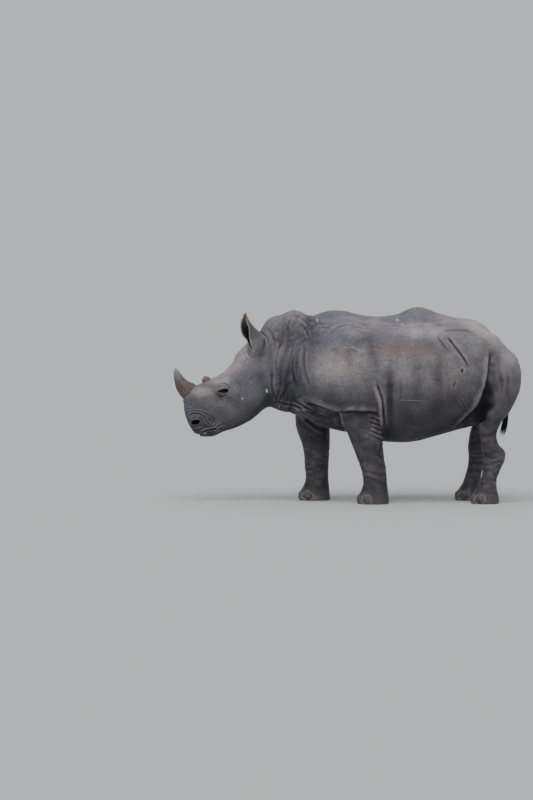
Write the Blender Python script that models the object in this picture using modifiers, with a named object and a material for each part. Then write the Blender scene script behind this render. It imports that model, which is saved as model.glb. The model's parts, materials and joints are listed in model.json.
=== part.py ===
"""A life-size white rhinoceros, a young cow, standing in mid stride with her head carried low.

She faces -X, her left side is -Y and up is +Z. Metres throughout, soles at z = 0.
The flesh is one smooth body, made from lofted forms and muscle masses, and is then parted by thin cuts
into head, neck, trunk and four legs. Ears, eyes, horns, toenails and tail are pieces of their own, each
bedded in a socket of the flesh that carries it.
"""

import math

import bmesh
import bpy
import numpy as np
from mathutils import Matrix, Vector

# ---------------------------------------------------------------- driving sizes

GAP = 0.0003  # clear space between two pieces that meet
VOXEL = 0.012  # grain at which the masses are fused
SMOOTHING = 12  # passes that round every join between masses
TORSO_SMOOTHING = 45  # further passes on the torso, whose muscles lie deep under thick hide
FLESH_FACES = 3840  # triangles of the whole flesh, before it is parted
FACE_THINNING = 0.35  # the face's weight in the thinning, against 1 for the rest
HEAD_CARE = 0.014  # how strongly those weights count

HEAD_PITCH = math.radians(33.0)  # the face points this far below the horizontal
HEAD_ROOT = Vector((-0.729, 0.0, 1.037))  # middle of the head, level with the ears
NECK_PLANE_X = -0.635  # head meets neck behind the ears
TRUNK_TOP_X = -0.335  # neck meets trunk behind the nape hump ...
TRUNK_LOW_X = -0.455  # ... and above the breastbone
TRUNK_TOP_Z, TRUNK_LOW_Z = 1.52, 0.74

LEFT, RIGHT = -1, 1
RIGHT_STRIDE = -0.16  # the right foreleg's upper arm lies this far ahead of the left one's

# ---------------------------------------------------------------- materials


def material(name, colour, roughness, metallic=0.0):
    """A plain Principled finish. Colour is linear red, green and blue."""
    made = bpy.data.materials.new(name)
    made.use_nodes = True
    shader = made.node_tree.nodes["Principled BSDF"]
    shader.inputs["Base Color"].default_value = (*colour, 1.0)
    shader.inputs["Roughness"].default_value = roughness
    shader.inputs["Metallic"].default_value = metallic
    return made


def make_materials():
    return {
        "hide": material("rhino_hide", (0.135, 0.118, 0.108), 0.78),
        "horn": material("horn_keratin", (0.185, 0.150, 0.125), 0.62),
        "nail": material("toenail_keratin", (0.105, 0.090, 0.078), 0.55),
        "eye": material("wet_eye", (0.012, 0.008, 0.006), 0.08),
        "bristle": material("tail_bristle", (0.018, 0.015, 0.013), 0.60),
    }


# ---------------------------------------------------------------- mesh tools


def add_object(name, mesh, collection):
    made = bpy.data.objects.new(name, mesh)
    collection.objects.link(made)
    return made


def smooth_rows(rows, count):
    """count rows of numbers on one smooth curve through the given rows, evenly spread along it."""
    rows = np.array(rows, float)
    steps = np.linalg.norm(np.diff(rows[:, :3], axis=0), axis=1)
    along = np.concatenate([[0.0], np.cumsum(steps)])
    slopes = np.gradient(rows, along, axis=0)
    made = []
    for at in np.linspace(0.0, along[-1], count):
        i = min(int(np.searchsorted(along, at, side="right")) - 1, len(rows) - 2)
        span = along[i + 1] - along[i]
        t = (at - along[i]) / span
        bend_in = (t**3 - 2 * t**2 + t) * span * slopes[i]
        bend_out = (t**3 - t**2) * span * slopes[i + 1]
        share = 3 * t**2 - 2 * t**3
        made.append((1 - share) * rows[i] + share * rows[i + 1] + bend_in + bend_out)
    return made


def section(half_width, top, low, wide, top_power, low_power, count=48):
    """(sideways, up) pairs round a cross-section that is widest at height wide.

    A power of 2 is an ellipse, less is ridged and more is boxy."""
    points = []
    for angle in np.linspace(0.0, 2 * math.pi, count, endpoint=False):
        c, s = math.cos(angle), math.sin(angle)
        power, reach = (top_power, top - wide) if s > 0 else (low_power, wide - low)
        side = half_width * math.copysign(abs(c) ** (2 / power), c)
        points.append((side, wide + reach * math.copysign(abs(s) ** (2 / power), s)))
    return points


def loft(rings):
    """A closed bmesh through rings of equally many points, with both ends filled."""
    shape = bmesh.new()
    loops = [[shape.verts.new(point) for point in ring] for ring in rings]
    for near, far in zip(loops, loops[1:]):
        for i in range(len(near)):
            j = (i + 1) % len(near)
            shape.faces.new((near[i], near[j], far[j], far[i]))
    shape.faces.new(loops[0])
    shape.faces.new(loops[-1])
    bmesh.ops.recalc_face_normals(shape, faces=shape.faces)
    return shape


def ball(centre, radii, turn=(0.0, 0.0, 0.0), segments=32):
    """An ellipsoid. turn is in degrees about X, Y and Z."""
    shape = bmesh.new()
    bmesh.ops.create_uvsphere(shape, u_segments=segments, v_segments=segments // 2, radius=1.0)
    placed = Matrix.Translation(centre)
    for angle, axis in zip(turn, "XYZ"):
        placed = placed @ Matrix.Rotation(math.radians(angle), 4, axis)
    shape.transform(placed @ Matrix.Diagonal((*radii, 1.0)))
    return shape


def mesh_of(shape, name):
    mesh = bpy.data.meshes.new(name)
    shape.to_mesh(mesh)
    shape.free()
    return mesh


def add_cutter(name, mesh, collection):
    """A helper solid that only cuts others: never rendered, drawn as wire."""
    made = add_object(name, mesh, collection)
    made.hide_render = True
    made.display_type = "WIRE"
    return made


def settle(obj):
    """Makes obj's modifiers part of its mesh."""
    graph = bpy.context.evaluated_depsgraph_get()
    finished = bpy.data.meshes.new_from_object(obj.evaluated_get(graph))
    obj.modifiers.clear()
    obj.data = finished


def combine(obj, other, operation):
    """obj joined with, cut by or kept within other, which stays as it is."""
    boolean = obj.modifiers.new("combine", "BOOLEAN")
    boolean.operation = operation
    boolean.object = other
    settle(obj)


def triangulate(obj):
    """Splits bent faces, so that a socket is cut along the same edges as the piece that fills it."""
    shape = bmesh.new()
    shape.from_mesh(obj.data)
    bmesh.ops.triangulate(shape, faces=shape.faces)
    shape.to_mesh(obj.data)
    shape.free()


def bed(host, guest):
    """Cuts guest's socket from host, with clear space all round."""
    triangulate(guest)
    grown = add_object("grown", guest.data.copy(), bpy.context.scene.collection)
    swell = grown.modifiers.new("swell", "DISPLACE")
    swell.strength = GAP
    swell.mid_level = 0.0
    settle(grown)
    combine(host, grown, "DIFFERENCE")
    bpy.data.objects.remove(grown)


# ---------------------------------------------------------------- trunk and neck

TRUNK_RINGS = 90

# x, top, low, widest height, half width, top power, low power
TRUNK_STATIONS = [
    (-0.740, 1.345, 0.800, 1.06, 0.165, 2.0, 2.0),  # inside the head
    (-0.650, 1.442, 0.778, 1.06, 0.190, 1.9, 2.1),  # behind the ears
    (-0.550, 1.507, 0.757, 1.06, 0.222, 1.8, 2.1),  # mid neck
    (-0.420, 1.567, 0.712, 1.06, 0.270, 1.8, 2.1),  # nape hump
    (-0.310, 1.520, 0.660, 1.04, 0.310, 1.9, 2.2),  # hollow behind the hump
    (-0.200, 1.541, 0.612, 1.02, 0.335, 1.9, 2.2),  # breast
    (-0.080, 1.560, 0.582, 1.00, 0.352, 1.9, 2.2),  # withers
    (0.060, 1.532, 0.556, 0.98, 0.375, 2.0, 2.2),
    (0.200, 1.508, 0.512, 0.94, 0.402, 2.1, 2.2),  # saddle, behind the elbow
    (0.400, 1.522, 0.482, 0.92, 0.425, 2.1, 2.2),  # deepest belly
    (0.580, 1.586, 0.496, 0.93, 0.422, 2.0, 2.2),  # loin hump
    (0.720, 1.540, 0.535, 0.96, 0.405, 2.0, 2.2),
    (0.880, 1.492, 0.580, 1.02, 0.382, 2.3, 2.2),  # flank
    (1.000, 1.487, 0.605, 1.06, 0.368, 2.6, 2.2),  # croup
    (1.090, 1.448, 0.632, 1.06, 0.350, 2.6, 2.2),
    (1.180, 1.364, 0.675, 1.05, 0.318, 2.3, 2.2),
    (1.250, 1.296, 0.730, 1.03, 0.272, 2.2, 2.2),
    (1.305, 1.246, 0.800, 1.02, 0.212, 2.1, 2.1),  # tail root
    (1.340, 1.190, 0.870, 1.02, 0.145, 2.0, 2.0),
    (1.356, 1.110, 0.950, 1.02, 0.060, 2.0, 2.0),
]


def trunk_form():
    rings = []
    for x, top, low, wide, half, top_power, low_power in smooth_rows(TRUNK_STATIONS, TRUNK_RINGS):
        outline = section(half, top, low, wide, top_power, low_power)
        rings.append([Vector((x, side, up)) for side, up in outline])
    return loft(rings)


def body_masses():
    """Muscle and bone that swell beyond the trunk's own line, on both sides. Those of the two
    forelegs and the two hind legs lie apart, because she is walking."""
    masses = []
    for side in (LEFT, RIGHT):
        stride = 0.0 if side == LEFT else RIGHT_STRIDE
        masses += [
            ball((0.00 + stride / 2, side * 0.235, 1.06), (0.215, 0.125, 0.33), (side * 8, -12, 0)),
            ball((0.105 + stride, side * 0.262, 0.865), (0.200, 0.112, 0.150)),  # upper arm
            ball((-0.30, side * 0.150, 0.86), (0.150, 0.120, 0.170)),  # breast muscle
            ball((1.095, side * 0.205, 1.200), (0.165, 0.120, 0.190), (0, 35, 0)),  # hip
            ball((1.222, side * 0.172, 0.995), (0.186, 0.150, 0.262), (0, 6, 0)),  # buttock
            ball((1.218, side * 0.240, 0.900), (0.140, 0.112, 0.250), (0, 8, 0)),  # thigh
        ]
    return masses


# ---------------------------------------------------------------- head

HEAD_RINGS = 60

# distance along the face, top, low, widest height, half width, top power, low power
HEAD_STATIONS = [
    (-0.100, 0.262, -0.262, -0.01, 0.168, 2.1, 2.1),  # inside the neck
    (0.000, 0.236, -0.268, -0.02, 0.176, 2.2, 2.1),  # poll
    (0.113, 0.186, -0.274, -0.03, 0.176, 2.3, 2.0),  # cheek
    (0.235, 0.160, -0.290, -0.04, 0.156, 2.4, 2.0),  # brow
    (0.324, 0.168, -0.284, -0.05, 0.128, 2.3, 2.1),  # below the eye
    (0.405, 0.178, -0.268, -0.05, 0.106, 2.2, 2.2),
    (0.470, 0.186, -0.250, -0.05, 0.098, 2.2, 2.3),  # narrowest, under the front horn
    (0.527, 0.176, -0.236, -0.06, 0.102, 2.2, 2.5),
    (0.583, 0.146, -0.218, -0.07, 0.110, 2.3, 2.7),  # nostrils
    (0.630, 0.092, -0.196, -0.08, 0.112, 2.5, 3.0),
    (0.662, 0.030, -0.170, -0.08, 0.102, 2.6, 3.0),  # front of the muzzle
    (0.682, -0.030, -0.130, -0.08, 0.070, 2.4, 2.4),
]


def on_head(along, side, up):
    """A point given along the face from the poll to the muzzle, sideways, and up from its middle."""
    c, s = math.cos(HEAD_PITCH), math.sin(HEAD_PITCH)
    return HEAD_ROOT + Vector((-along * c - up * s, side, -along * s + up * c))


def head_form():
    rings = []
    for along, top, low, wide, half, top_power, low_power in smooth_rows(HEAD_STATIONS, HEAD_RINGS):
        outline = section(half, top, low, wide, top_power, low_power)
        rings.append([on_head(along, side, up) for side, up in outline])
    return loft(rings)


def head_mass(along, side, up, radii, lift=0.0, segments=32):
    """An ellipsoid lined up with the face, its muzzle end raised from that line by lift degrees."""
    turn = (0, lift - math.degrees(HEAD_PITCH), 0)
    return ball(on_head(along, side, up), radii, turn, segments)


def head_masses():
    masses = [
        head_mass(0.520, 0, 0.105, (0.105, 0.082, 0.088)),  # boss of bone under the front horn
        head_mass(0.395, 0, 0.125, (0.090, 0.070, 0.055)),  # boss under the rear horn
        head_mass(0.624, 0, -0.105, (0.062, 0.116, 0.078)),  # upper lip
        head_mass(0.528, 0, -0.200, (0.078, 0.090, 0.040)),  # chin
        head_mass(-0.020, 0, 0.150, (0.120, 0.130, 0.075), 20),  # crest between the ears
    ]
    for side in (LEFT, RIGHT):
        masses += [
            head_mass(0.285, side * 0.094, 0.066, (0.085, 0.058, 0.046)),  # brow
            head_mass(0.175, side * 0.114, -0.020, (0.150, 0.062, 0.050)),  # cheek bone
            head_mass(0.085, side * 0.085, -0.135, (0.180, 0.084, 0.120)),  # jaw muscle
            head_mass(0.612, side * 0.080, -0.045, (0.056, 0.044, 0.060)),  # wing of the nostril
            head_mass(-0.095, side * 0.118, 0.118, (0.080, 0.056, 0.062)),  # root of the ear
        ]
    return masses


NOSTRIL_ALONG, NOSTRIL_SIDE, NOSTRIL_UP = 0.632, 0.112, -0.064
NOSTRIL_RADII = (0.044, 0.022, 0.024)


def cut_nostrils(head, collection):
    """The two nostrils, oval pits in the sides of the muzzle."""
    for side in (LEFT, RIGHT):
        place = (NOSTRIL_ALONG, side * NOSTRIL_SIDE, NOSTRIL_UP)
        pit = head_mass(*place, NOSTRIL_RADII, 15, segments=10)
        combine(head, add_cutter("cut_nostril", mesh_of(pit, "nostril"), collection), "DIFFERENCE")


# ---------------------------------------------------------------- legs

LEG_RINGS = 46

# z, x of the middle, half length, y of the middle, half width
FORE_LEFT = [
    (0.900, 0.060, 0.150, 0.235, 0.100),
    (0.740, 0.103, 0.172, 0.240, 0.118),  # elbow
    (0.567, 0.139, 0.147, 0.236, 0.116),
    (0.446, 0.169, 0.119, 0.230, 0.104),  # forearm
    (0.330, 0.201, 0.103, 0.224, 0.098),
    (0.270, 0.215, 0.100, 0.222, 0.099),  # wrist
    (0.190, 0.226, 0.094, 0.220, 0.092),  # cannon
    (0.120, 0.224, 0.104, 0.220, 0.100),
    (0.060, 0.214, 0.123, 0.220, 0.116),  # toes
    (0.015, 0.212, 0.127, 0.220, 0.120),
    (-0.040, 0.212, 0.127, 0.220, 0.120),
]
FORE_RIGHT = [
    (0.900, -0.180, 0.150, 0.235, 0.100),
    (0.740, -0.262, 0.176, 0.240, 0.118),
    (0.571, -0.272, 0.146, 0.236, 0.116),
    (0.465, -0.250, 0.117, 0.230, 0.104),
    (0.388, -0.242, 0.105, 0.226, 0.099),
    (0.292, -0.239, 0.101, 0.222, 0.098),
    (0.200, -0.236, 0.094, 0.220, 0.092),
    (0.120, -0.242, 0.104, 0.220, 0.100),
    (0.060, -0.254, 0.123, 0.220, 0.116),
    (0.015, -0.256, 0.127, 0.220, 0.120),
    (-0.040, -0.256, 0.127, 0.220, 0.120),
]
HIND_LEFT = [
    (0.980, 1.240, 0.150, 0.215, 0.110),
    (0.850, 1.228, 0.138, 0.225, 0.118),  # thigh
    (0.740, 1.178, 0.116, 0.224, 0.108),
    (0.640, 1.143, 0.088, 0.217, 0.092),  # knee
    (0.545, 1.135, 0.064, 0.210, 0.078),  # shin
    (0.450, 1.158, 0.076, 0.204, 0.071),
    (0.370, 1.180, 0.088, 0.200, 0.070),  # hock
    (0.290, 1.170, 0.076, 0.198, 0.070),
    (0.210, 1.145, 0.066, 0.198, 0.072),  # cannon
    (0.130, 1.130, 0.078, 0.198, 0.084),
    (0.060, 1.116, 0.108, 0.198, 0.103),  # toes
    (0.015, 1.114, 0.112, 0.198, 0.107),
    (-0.040, 1.114, 0.112, 0.198, 0.107),
]
# how far the right hind leg is set ahead of the left one, row by row
HIND_RIGHT_STEP = [0.0, 0.0, 0.012, 0.040, 0.068, 0.088, 0.098, 0.105, 0.108, 0.110, 0.110, 0.110, 0.110]
FOOT_POWER = 2.3


def leg_form(rows, side):
    rings = []
    for z, x, half_length, y, half_width in smooth_rows(rows, LEG_RINGS):
        outline = section(half_width, half_length, -half_length, 0.0, FOOT_POWER, FOOT_POWER, 36)
        rings.append([Vector((x + along, side * y + across, z)) for across, along in outline])
    return loft(rings)


def leg_rows():
    hind_right = [(z, x - step, *rest) for (z, x, *rest), step in zip(HIND_LEFT, HIND_RIGHT_STEP)]
    return {
        "fore_left": (FORE_LEFT, LEFT),
        "fore_right": (FORE_RIGHT, RIGHT),
        "hind_left": (HIND_LEFT, LEFT),
        "hind_right": (hind_right, RIGHT),
    }


def hock_masses():
    """The heel bone that stands out behind each hock."""
    return [
        ball((1.236, LEFT * 0.202, 0.392), (0.040, 0.036, 0.070), (0, 16, 0)),
        ball((1.138, RIGHT * 0.202, 0.392), (0.040, 0.036, 0.070), (0, 16, 0)),
    ]


# ---------------------------------------------------------------- fusing and parting the flesh


TORSO_X, TORSO_Z = (-0.60, -0.40), (0.52, 0.72)  # where the torso begins, from the head and from the legs


def ramp(value, start, end):
    """0 before start, 1 past end, and an even curve between them."""
    t = min(max((value - start) / (end - start), 0.0), 1.0)
    return t * t * (3 - 2 * t)


def torso_share(place):
    return ramp(place.x, *TORSO_X) * ramp(place.z, *TORSO_Z)


def fuse(shapes, name, collection):
    """One smooth closed skin round all the shapes, coarse on the body and finer on the head."""
    whole = bmesh.new()
    for shape in shapes:
        piece = mesh_of(shape, "piece")
        whole.from_mesh(piece)
        bpy.data.meshes.remove(piece)
    flesh = add_object(name, mesh_of(whole, name), collection)
    remesh = flesh.modifiers.new("fuse", "REMESH")
    remesh.mode = "VOXEL"
    remesh.voxel_size = VOXEL
    settle(flesh)
    torso = flesh.vertex_groups.new(name="torso")
    for vertex in flesh.data.vertices:
        torso.add([vertex.index], torso_share(vertex.co), "REPLACE")
    for passes, group in ((SMOOTHING, ""), (TORSO_SMOOTHING, torso.name)):
        smooth = flesh.modifiers.new("smooth", "SMOOTH")
        smooth.factor = 0.5
        smooth.iterations = passes
        smooth.vertex_group = group
    settle(flesh)
    coarse = flesh.vertex_groups.new(name="coarse")
    for vertex in flesh.data.vertices:
        on_face = vertex.co.x < NECK_PLANE_X
        coarse.add([vertex.index], FACE_THINNING if on_face else 1.0, "REPLACE")
    decimate = flesh.modifiers.new("thin_out", "DECIMATE")
    decimate.ratio = FLESH_FACES / (2 * len(flesh.data.polygons))
    decimate.vertex_group = coarse.name
    decimate.vertex_group_factor = HEAD_CARE
    settle(flesh)
    return flesh


def trimmed(obj, name, point, normal, collection):
    """The part of obj behind a plane, with the cut filled flat."""
    shape = bmesh.new()
    shape.from_mesh(obj.data)
    everything = shape.verts[:] + shape.edges[:] + shape.faces[:]
    cut = bmesh.ops.bisect_plane(
        shape, geom=everything, plane_co=point, plane_no=normal, clear_outer=True, dist=1e-6
    )
    rim = [part for part in cut["geom_cut"] if isinstance(part, bmesh.types.BMEdge)]
    bmesh.ops.holes_fill(shape, edges=rim, sides=0)
    bmesh.ops.recalc_face_normals(shape, faces=shape.faces)
    return add_object(name, mesh_of(shape, name), collection)


def part_by_plane(obj, front_name, back_name, point, normal, collection):
    """Two pieces, before and behind a plane, with a thin cut between them."""
    normal = Vector(normal).normalized()
    back = trimmed(obj, back_name, Vector(point) - normal * GAP / 2, normal, collection)
    front = trimmed(obj, front_name, Vector(point) + normal * GAP / 2, -normal, collection)
    bpy.data.objects.remove(obj)
    return front, back


def block(corners, name, collection):
    """The convex block with these corners."""
    shape = bmesh.new()
    for corner in corners:
        shape.verts.new(corner)
    bmesh.ops.convex_hull(shape, input=shape.verts)
    bmesh.ops.recalc_face_normals(shape, faces=shape.faces)
    return add_cutter(name, mesh_of(shape, name), collection)


# x range at the outer top, x range at the inner top, x range at the ground, outer and inner top z
LEG_BLOCKS = {
    "fore_left": ((-0.12, 0.295), (-0.10, 0.295), (-0.02, 0.46), 0.80, 0.60),
    "fore_right": ((-0.52, -0.08), (-0.50, -0.10), (-0.50, -0.02), 0.80, 0.60),
    "hind_left": ((1.10, 1.48), (1.00, 1.48), (0.96, 1.48), 1.02, 0.66),
    "hind_right": ((1.10, 1.48), (0.98, 1.48), (0.85, 1.48), 1.02, 0.66),
}
BLOCK_INNER, BLOCK_OUTER, BLOCK_LOW = 0.012, 0.60, -0.05
BLOCK_SWELL = 1.002  # moves every side of a block out by the gap or a little more


def leg_blocks(cutters):
    blocks = {}
    for name, (outer, inner, ground, outer_z, inner_z) in LEG_BLOCKS.items():
        side = LEFT if name.endswith("left") else RIGHT
        corners = [(x, side * BLOCK_OUTER, outer_z) for x in outer]
        corners += [(x, side * BLOCK_INNER, inner_z) for x in inner]
        corners += [(x, side * y, BLOCK_LOW) for x in ground for y in (BLOCK_INNER, BLOCK_OUTER)]
        blocks[name] = block(corners, "cut_" + name, cutters)
    return blocks


def swollen(obj, factor, collection):
    """A copy of obj scaled about its middle."""
    mesh = obj.data.copy()
    middle = sum((vertex.co for vertex in mesh.vertices), Vector()) / len(mesh.vertices)
    mesh.transform(Matrix.Translation(middle) @ Matrix.Scale(factor, 4) @ Matrix.Translation(-middle))
    return add_cutter(obj.name + "_swollen", mesh, collection)


def part_legs(trunk, collection, cutters):
    legs = {}
    for name, cutter in leg_blocks(cutters).items():
        leg = add_object("leg_" + name, trunk.data.copy(), collection)
        combine(leg, cutter, "INTERSECT")
        legs[name] = leg
    for cutter in [obj for obj in cutters.objects if obj.name.startswith("cut_")]:
        combine(trunk, swollen(cutter, BLOCK_SWELL, cutters), "DIFFERENCE")
    return legs


# ---------------------------------------------------------------- horns

HORN_SIDES, FRONT_HORN_RINGS, REAR_HORN_RINGS = 12, 10, 6

# x, z, half length fore and aft, half width across
FRONT_HORN = [
    (-1.240, 0.862, 0.076, 0.060),
    (-1.272, 0.892, 0.076, 0.060),
    (-1.312, 0.924, 0.066, 0.054),
    (-1.346, 0.968, 0.050, 0.043),
    (-1.370, 1.022, 0.033, 0.031),
    (-1.382, 1.064, 0.018, 0.018),
    (-1.386, 1.082, 0.005, 0.005),
]
REAR_HORN = [
    (-1.118, 0.925, 0.042, 0.038),
    (-1.130, 0.962, 0.041, 0.037),
    (-1.140, 0.994, 0.034, 0.031),
    (-1.147, 1.014, 0.020, 0.019),
    (-1.149, 1.020, 0.006, 0.006),
]


def horn(name, rows, rings_wanted, collection):
    """A horn on the midline: oval rings set square to its bent middle line."""
    path = smooth_rows([(x, 0.0, z, length, width) for x, z, length, width in rows], rings_wanted)
    places = np.array(path)[:, :3]
    headings = np.gradient(places, axis=0)
    rings = []
    for (x, _, z, length, width), heading in zip(path, headings):
        across = Vector((0.0, 1.0, 0.0))
        fore = Vector(heading).normalized().cross(across)
        ring = []
        for angle in np.linspace(0.0, 2 * math.pi, HORN_SIDES, endpoint=False):
            spot = fore * length * math.cos(angle) + across * width * math.sin(angle)
            ring.append(Vector((x, 0.0, z)) + spot)
        rings.append(ring)
    return add_object(name, mesh_of(loft(rings), name), collection)


# ---------------------------------------------------------------- ears

EAR_LENGTH = 0.312
EAR_THICK = 0.009
EAR_ROOT = Vector((-0.716, 0.128, 1.228))
EAR_TILT_FORE, EAR_TILT_OUT = math.radians(20.0), math.radians(15.0)
EAR_OPENING_OUT = math.radians(26.0)  # how far the opening is turned from straight ahead
EAR_DEPTH = 1.15  # the cup is this much deeper than it is wide
EAR_STEPS, EAR_SPAN = 7, 8

# share of the length, radius, half angle of the curled sheet in degrees, lean towards the opening
EAR_ROWS = [
    (0.00, 0.050, 168, 0.000),
    (0.15, 0.060, 162, 0.002),
    (0.35, 0.065, 150, 0.006),
    (0.55, 0.060, 142, 0.013),
    (0.75, 0.050, 138, 0.021),
    (0.88, 0.036, 134, 0.019),
    (0.96, 0.020, 128, 0.010),
    (1.00, 0.006, 120, 0.003),
]


def ear(name, side, collection):
    """A curled sheet, nearly a tube at its root and open in front higher up."""
    up = Vector((-math.tan(EAR_TILT_FORE), side * math.tan(EAR_TILT_OUT), 1.0)).normalized()
    opening = Vector((-math.cos(EAR_OPENING_OUT), side * math.sin(EAR_OPENING_OUT), 0.0))
    opening = (opening - up * opening.dot(up)).normalized()
    across = up.cross(opening)
    root = Vector((EAR_ROOT.x, side * EAR_ROOT.y, EAR_ROOT.z))
    shape = bmesh.new()
    grid = []
    for share, radius, half_angle, lean in smooth_rows(EAR_ROWS, EAR_STEPS):
        middle = root + up * share * EAR_LENGTH + opening * lean
        row = []
        for turn in np.linspace(-1.0, 1.0, EAR_SPAN):
            angle = math.radians(half_angle) * turn
            spot = across * math.sin(angle) - opening * math.cos(angle) * EAR_DEPTH
            row.append(shape.verts.new(middle + spot * radius))
        grid.append(row)
    for low, high in zip(grid, grid[1:]):
        for i in range(EAR_SPAN - 1):
            shape.faces.new((low[i], low[i + 1], high[i + 1], high[i]))
    bmesh.ops.recalc_face_normals(shape, faces=shape.faces)
    made = add_object(name, mesh_of(shape, name), collection)
    wall = made.modifiers.new("wall", "SOLIDIFY")
    wall.thickness = EAR_THICK
    wall.offset = 0.0
    settle(made)
    return made


# ---------------------------------------------------------------- eyes

EYE_RADIUS = 0.027
EYE_ALONG, EYE_UP, EYE_SIDE = 0.299, 0.040, 0.124


def eye(name, side, collection):
    shape = ball(on_head(EYE_ALONG, side * EYE_SIDE, EYE_UP), (EYE_RADIUS,) * 3, segments=12)
    return add_object(name, mesh_of(shape, name), collection)


# ---------------------------------------------------------------- toenails

NAIL_LOW = 0.003  # the nails end just above the ground
# angle round the foot from straight ahead in degrees, half width, half height
NAILS = {"middle": (0, 0.046, 0.040), "outer": (58, 0.036, 0.034), "inner": (-58, 0.036, 0.034)}
TOE_ROW = -3  # the row of a leg's stations that lies across the toes
NAIL_HALF_THICK = 0.020
NAIL_SET_IN = 0.010  # how far a nail's middle lies inside the foot's outline
NAIL_MIDDLE_Z = 0.034


def toenail(name, rows, side, angle, half_width, half_height, collection):
    """A rounded plate on the foot's front, cut off flat just above the ground."""
    _, x, half_length, y, half_foot = rows[TOE_ROW]
    turn = math.radians(angle)
    out = Vector((-math.cos(turn), side * math.sin(turn), 0.0))
    reach = 1.0 / math.hypot(out.x / half_length, out.y / half_foot) - NAIL_SET_IN
    centre = Vector((x, side * y, NAIL_MIDDLE_Z)) + out * reach
    facing = math.degrees(math.atan2(out.y, out.x))
    shape = ball(centre, (NAIL_HALF_THICK, half_width, half_height), (0, 0, facing), 8)
    whole = add_object("whole_nail", mesh_of(shape, "whole_nail"), collection)
    made = trimmed(whole, name, Vector((0, 0, NAIL_LOW)), Vector((0, 0, -1)), collection)
    bpy.data.objects.remove(whole)
    return made


# ---------------------------------------------------------------- tail

TAIL_RINGS, TUFT_RINGS, TAIL_SIDES = 13, 6, 8

# x, z, radius: the tail lies in the cleft of the rump and hangs clear below it
TAIL = [
    (1.290, 1.212, 0.030),
    (1.340, 1.180, 0.031),
    (1.372, 1.110, 0.027),
    (1.382, 1.030, 0.023),
    (1.370, 0.930, 0.019),
    (1.335, 0.830, 0.015),
    (1.303, 0.745, 0.014),
    (1.292, 0.700, 0.015),
]
TUFT = [
    (1.2915, 0.698, 0.013),
    (1.286, 0.660, 0.021),
    (1.284, 0.610, 0.025),
    (1.288, 0.560, 0.019),
    (1.295, 0.518, 0.006),
]


def hanging_tube(name, rows, rings_wanted, collection):
    """A tube of changing thickness along a line on the midplane."""
    path = smooth_rows([(x, 0.0, z, radius) for x, z, radius in rows], rings_wanted)
    headings = np.gradient(np.array(path)[:, :3], axis=0)
    loops = []
    for (x, _, z, radius), heading in zip(path, headings):
        across = Vector((0.0, 1.0, 0.0))
        out = across.cross(Vector(heading)).normalized()
        loop = []
        for angle in np.linspace(0.0, 2 * math.pi, TAIL_SIDES, endpoint=False):
            spot = out * math.cos(angle) + across * math.sin(angle)
            loop.append(Vector((x, 0.0, z)) + spot * radius)
        loops.append(loop)
    return add_object(name, mesh_of(loft(loops), name), collection)


# ---------------------------------------------------------------- the whole animal


def set_on_origin(objects):
    """Moves everything sideways so that the origin is under the middle of the animal."""
    points = np.array([vertex.co for obj in objects for vertex in obj.data.vertices])
    middle = (points.min(axis=0) + points.max(axis=0)) / 2
    for obj in objects:
        obj.data.transform(Matrix.Translation((-middle[0], -middle[1], 0.0)))


def build():
    for obj in list(bpy.data.objects):
        bpy.data.objects.remove(obj)
    scene = bpy.context.scene
    rhino = bpy.data.collections.new("white_rhinoceros")
    cutters = bpy.data.collections.new("cutters")
    scene.collection.children.link(rhino)
    scene.collection.children.link(cutters)
    finish = make_materials()

    rows = leg_rows()
    shapes = [trunk_form(), head_form(), *body_masses(), *head_masses(), *hock_masses()]
    shapes += [leg_form(stations, side) for stations, side in rows.values()]
    fused = fuse(shapes, "fused", rhino)
    flesh = trimmed(fused, "flesh", Vector((0, 0, 0)), Vector((0, 0, -1)), rhino)
    bpy.data.objects.remove(fused)

    head, rest = part_by_plane(flesh, "head", "rest", (NECK_PLANE_X, 0, 0), (-1, 0, 0), rhino)
    slope = Vector((-(TRUNK_TOP_Z - TRUNK_LOW_Z), 0.0, TRUNK_TOP_X - TRUNK_LOW_X))
    neck, trunk = part_by_plane(rest, "neck", "trunk", (TRUNK_TOP_X, 0, TRUNK_TOP_Z), slope, rhino)
    legs = part_legs(trunk, rhino, cutters)

    front_horn = horn("horn_front", FRONT_HORN, FRONT_HORN_RINGS, rhino)
    rear_horn = horn("horn_rear", REAR_HORN, REAR_HORN_RINGS, rhino)
    paired = {"left": LEFT, "right": RIGHT}
    ears = [ear("ear_" + word, side, rhino) for word, side in paired.items()]
    eyes = [eye("eye_" + word, side, rhino) for word, side in paired.items()]
    cut_nostrils(head, cutters)
    for guest in [front_horn, rear_horn, *ears, *eyes]:
        bed(head, guest)

    nails = []
    for leg_name, (stations, side) in rows.items():
        for nail_name, (angle, half_width, half_height) in NAILS.items():
            name = f"nail_{leg_name}_{nail_name}"
            nail = toenail(name, stations, side, angle, half_width, half_height, rhino)
            bed(legs[leg_name], nail)
            nails.append(nail)

    tail = hanging_tube("tail", TAIL, TAIL_RINGS, rhino)
    bed(trunk, tail)
    tuft = hanging_tube("tail_tuft", TUFT, TUFT_RINGS, rhino)
    bed(tail, tuft)

    for obj in [head, neck, trunk, tail, *legs.values(), *ears]:
        obj.data.materials.clear()
        obj.data.materials.append(finish["hide"])
    for obj in (front_horn, rear_horn):
        obj.data.materials.append(finish["horn"])
    for obj in nails:
        obj.data.materials.append(finish["nail"])
    for obj in eyes:
        obj.data.materials.append(finish["eye"])
    tuft.data.materials.append(finish["bristle"])

    set_on_origin(list(rhino.objects))
    for obj in rhino.objects:
        obj.data.shade_smooth()


build()
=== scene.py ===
import json
import math

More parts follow.
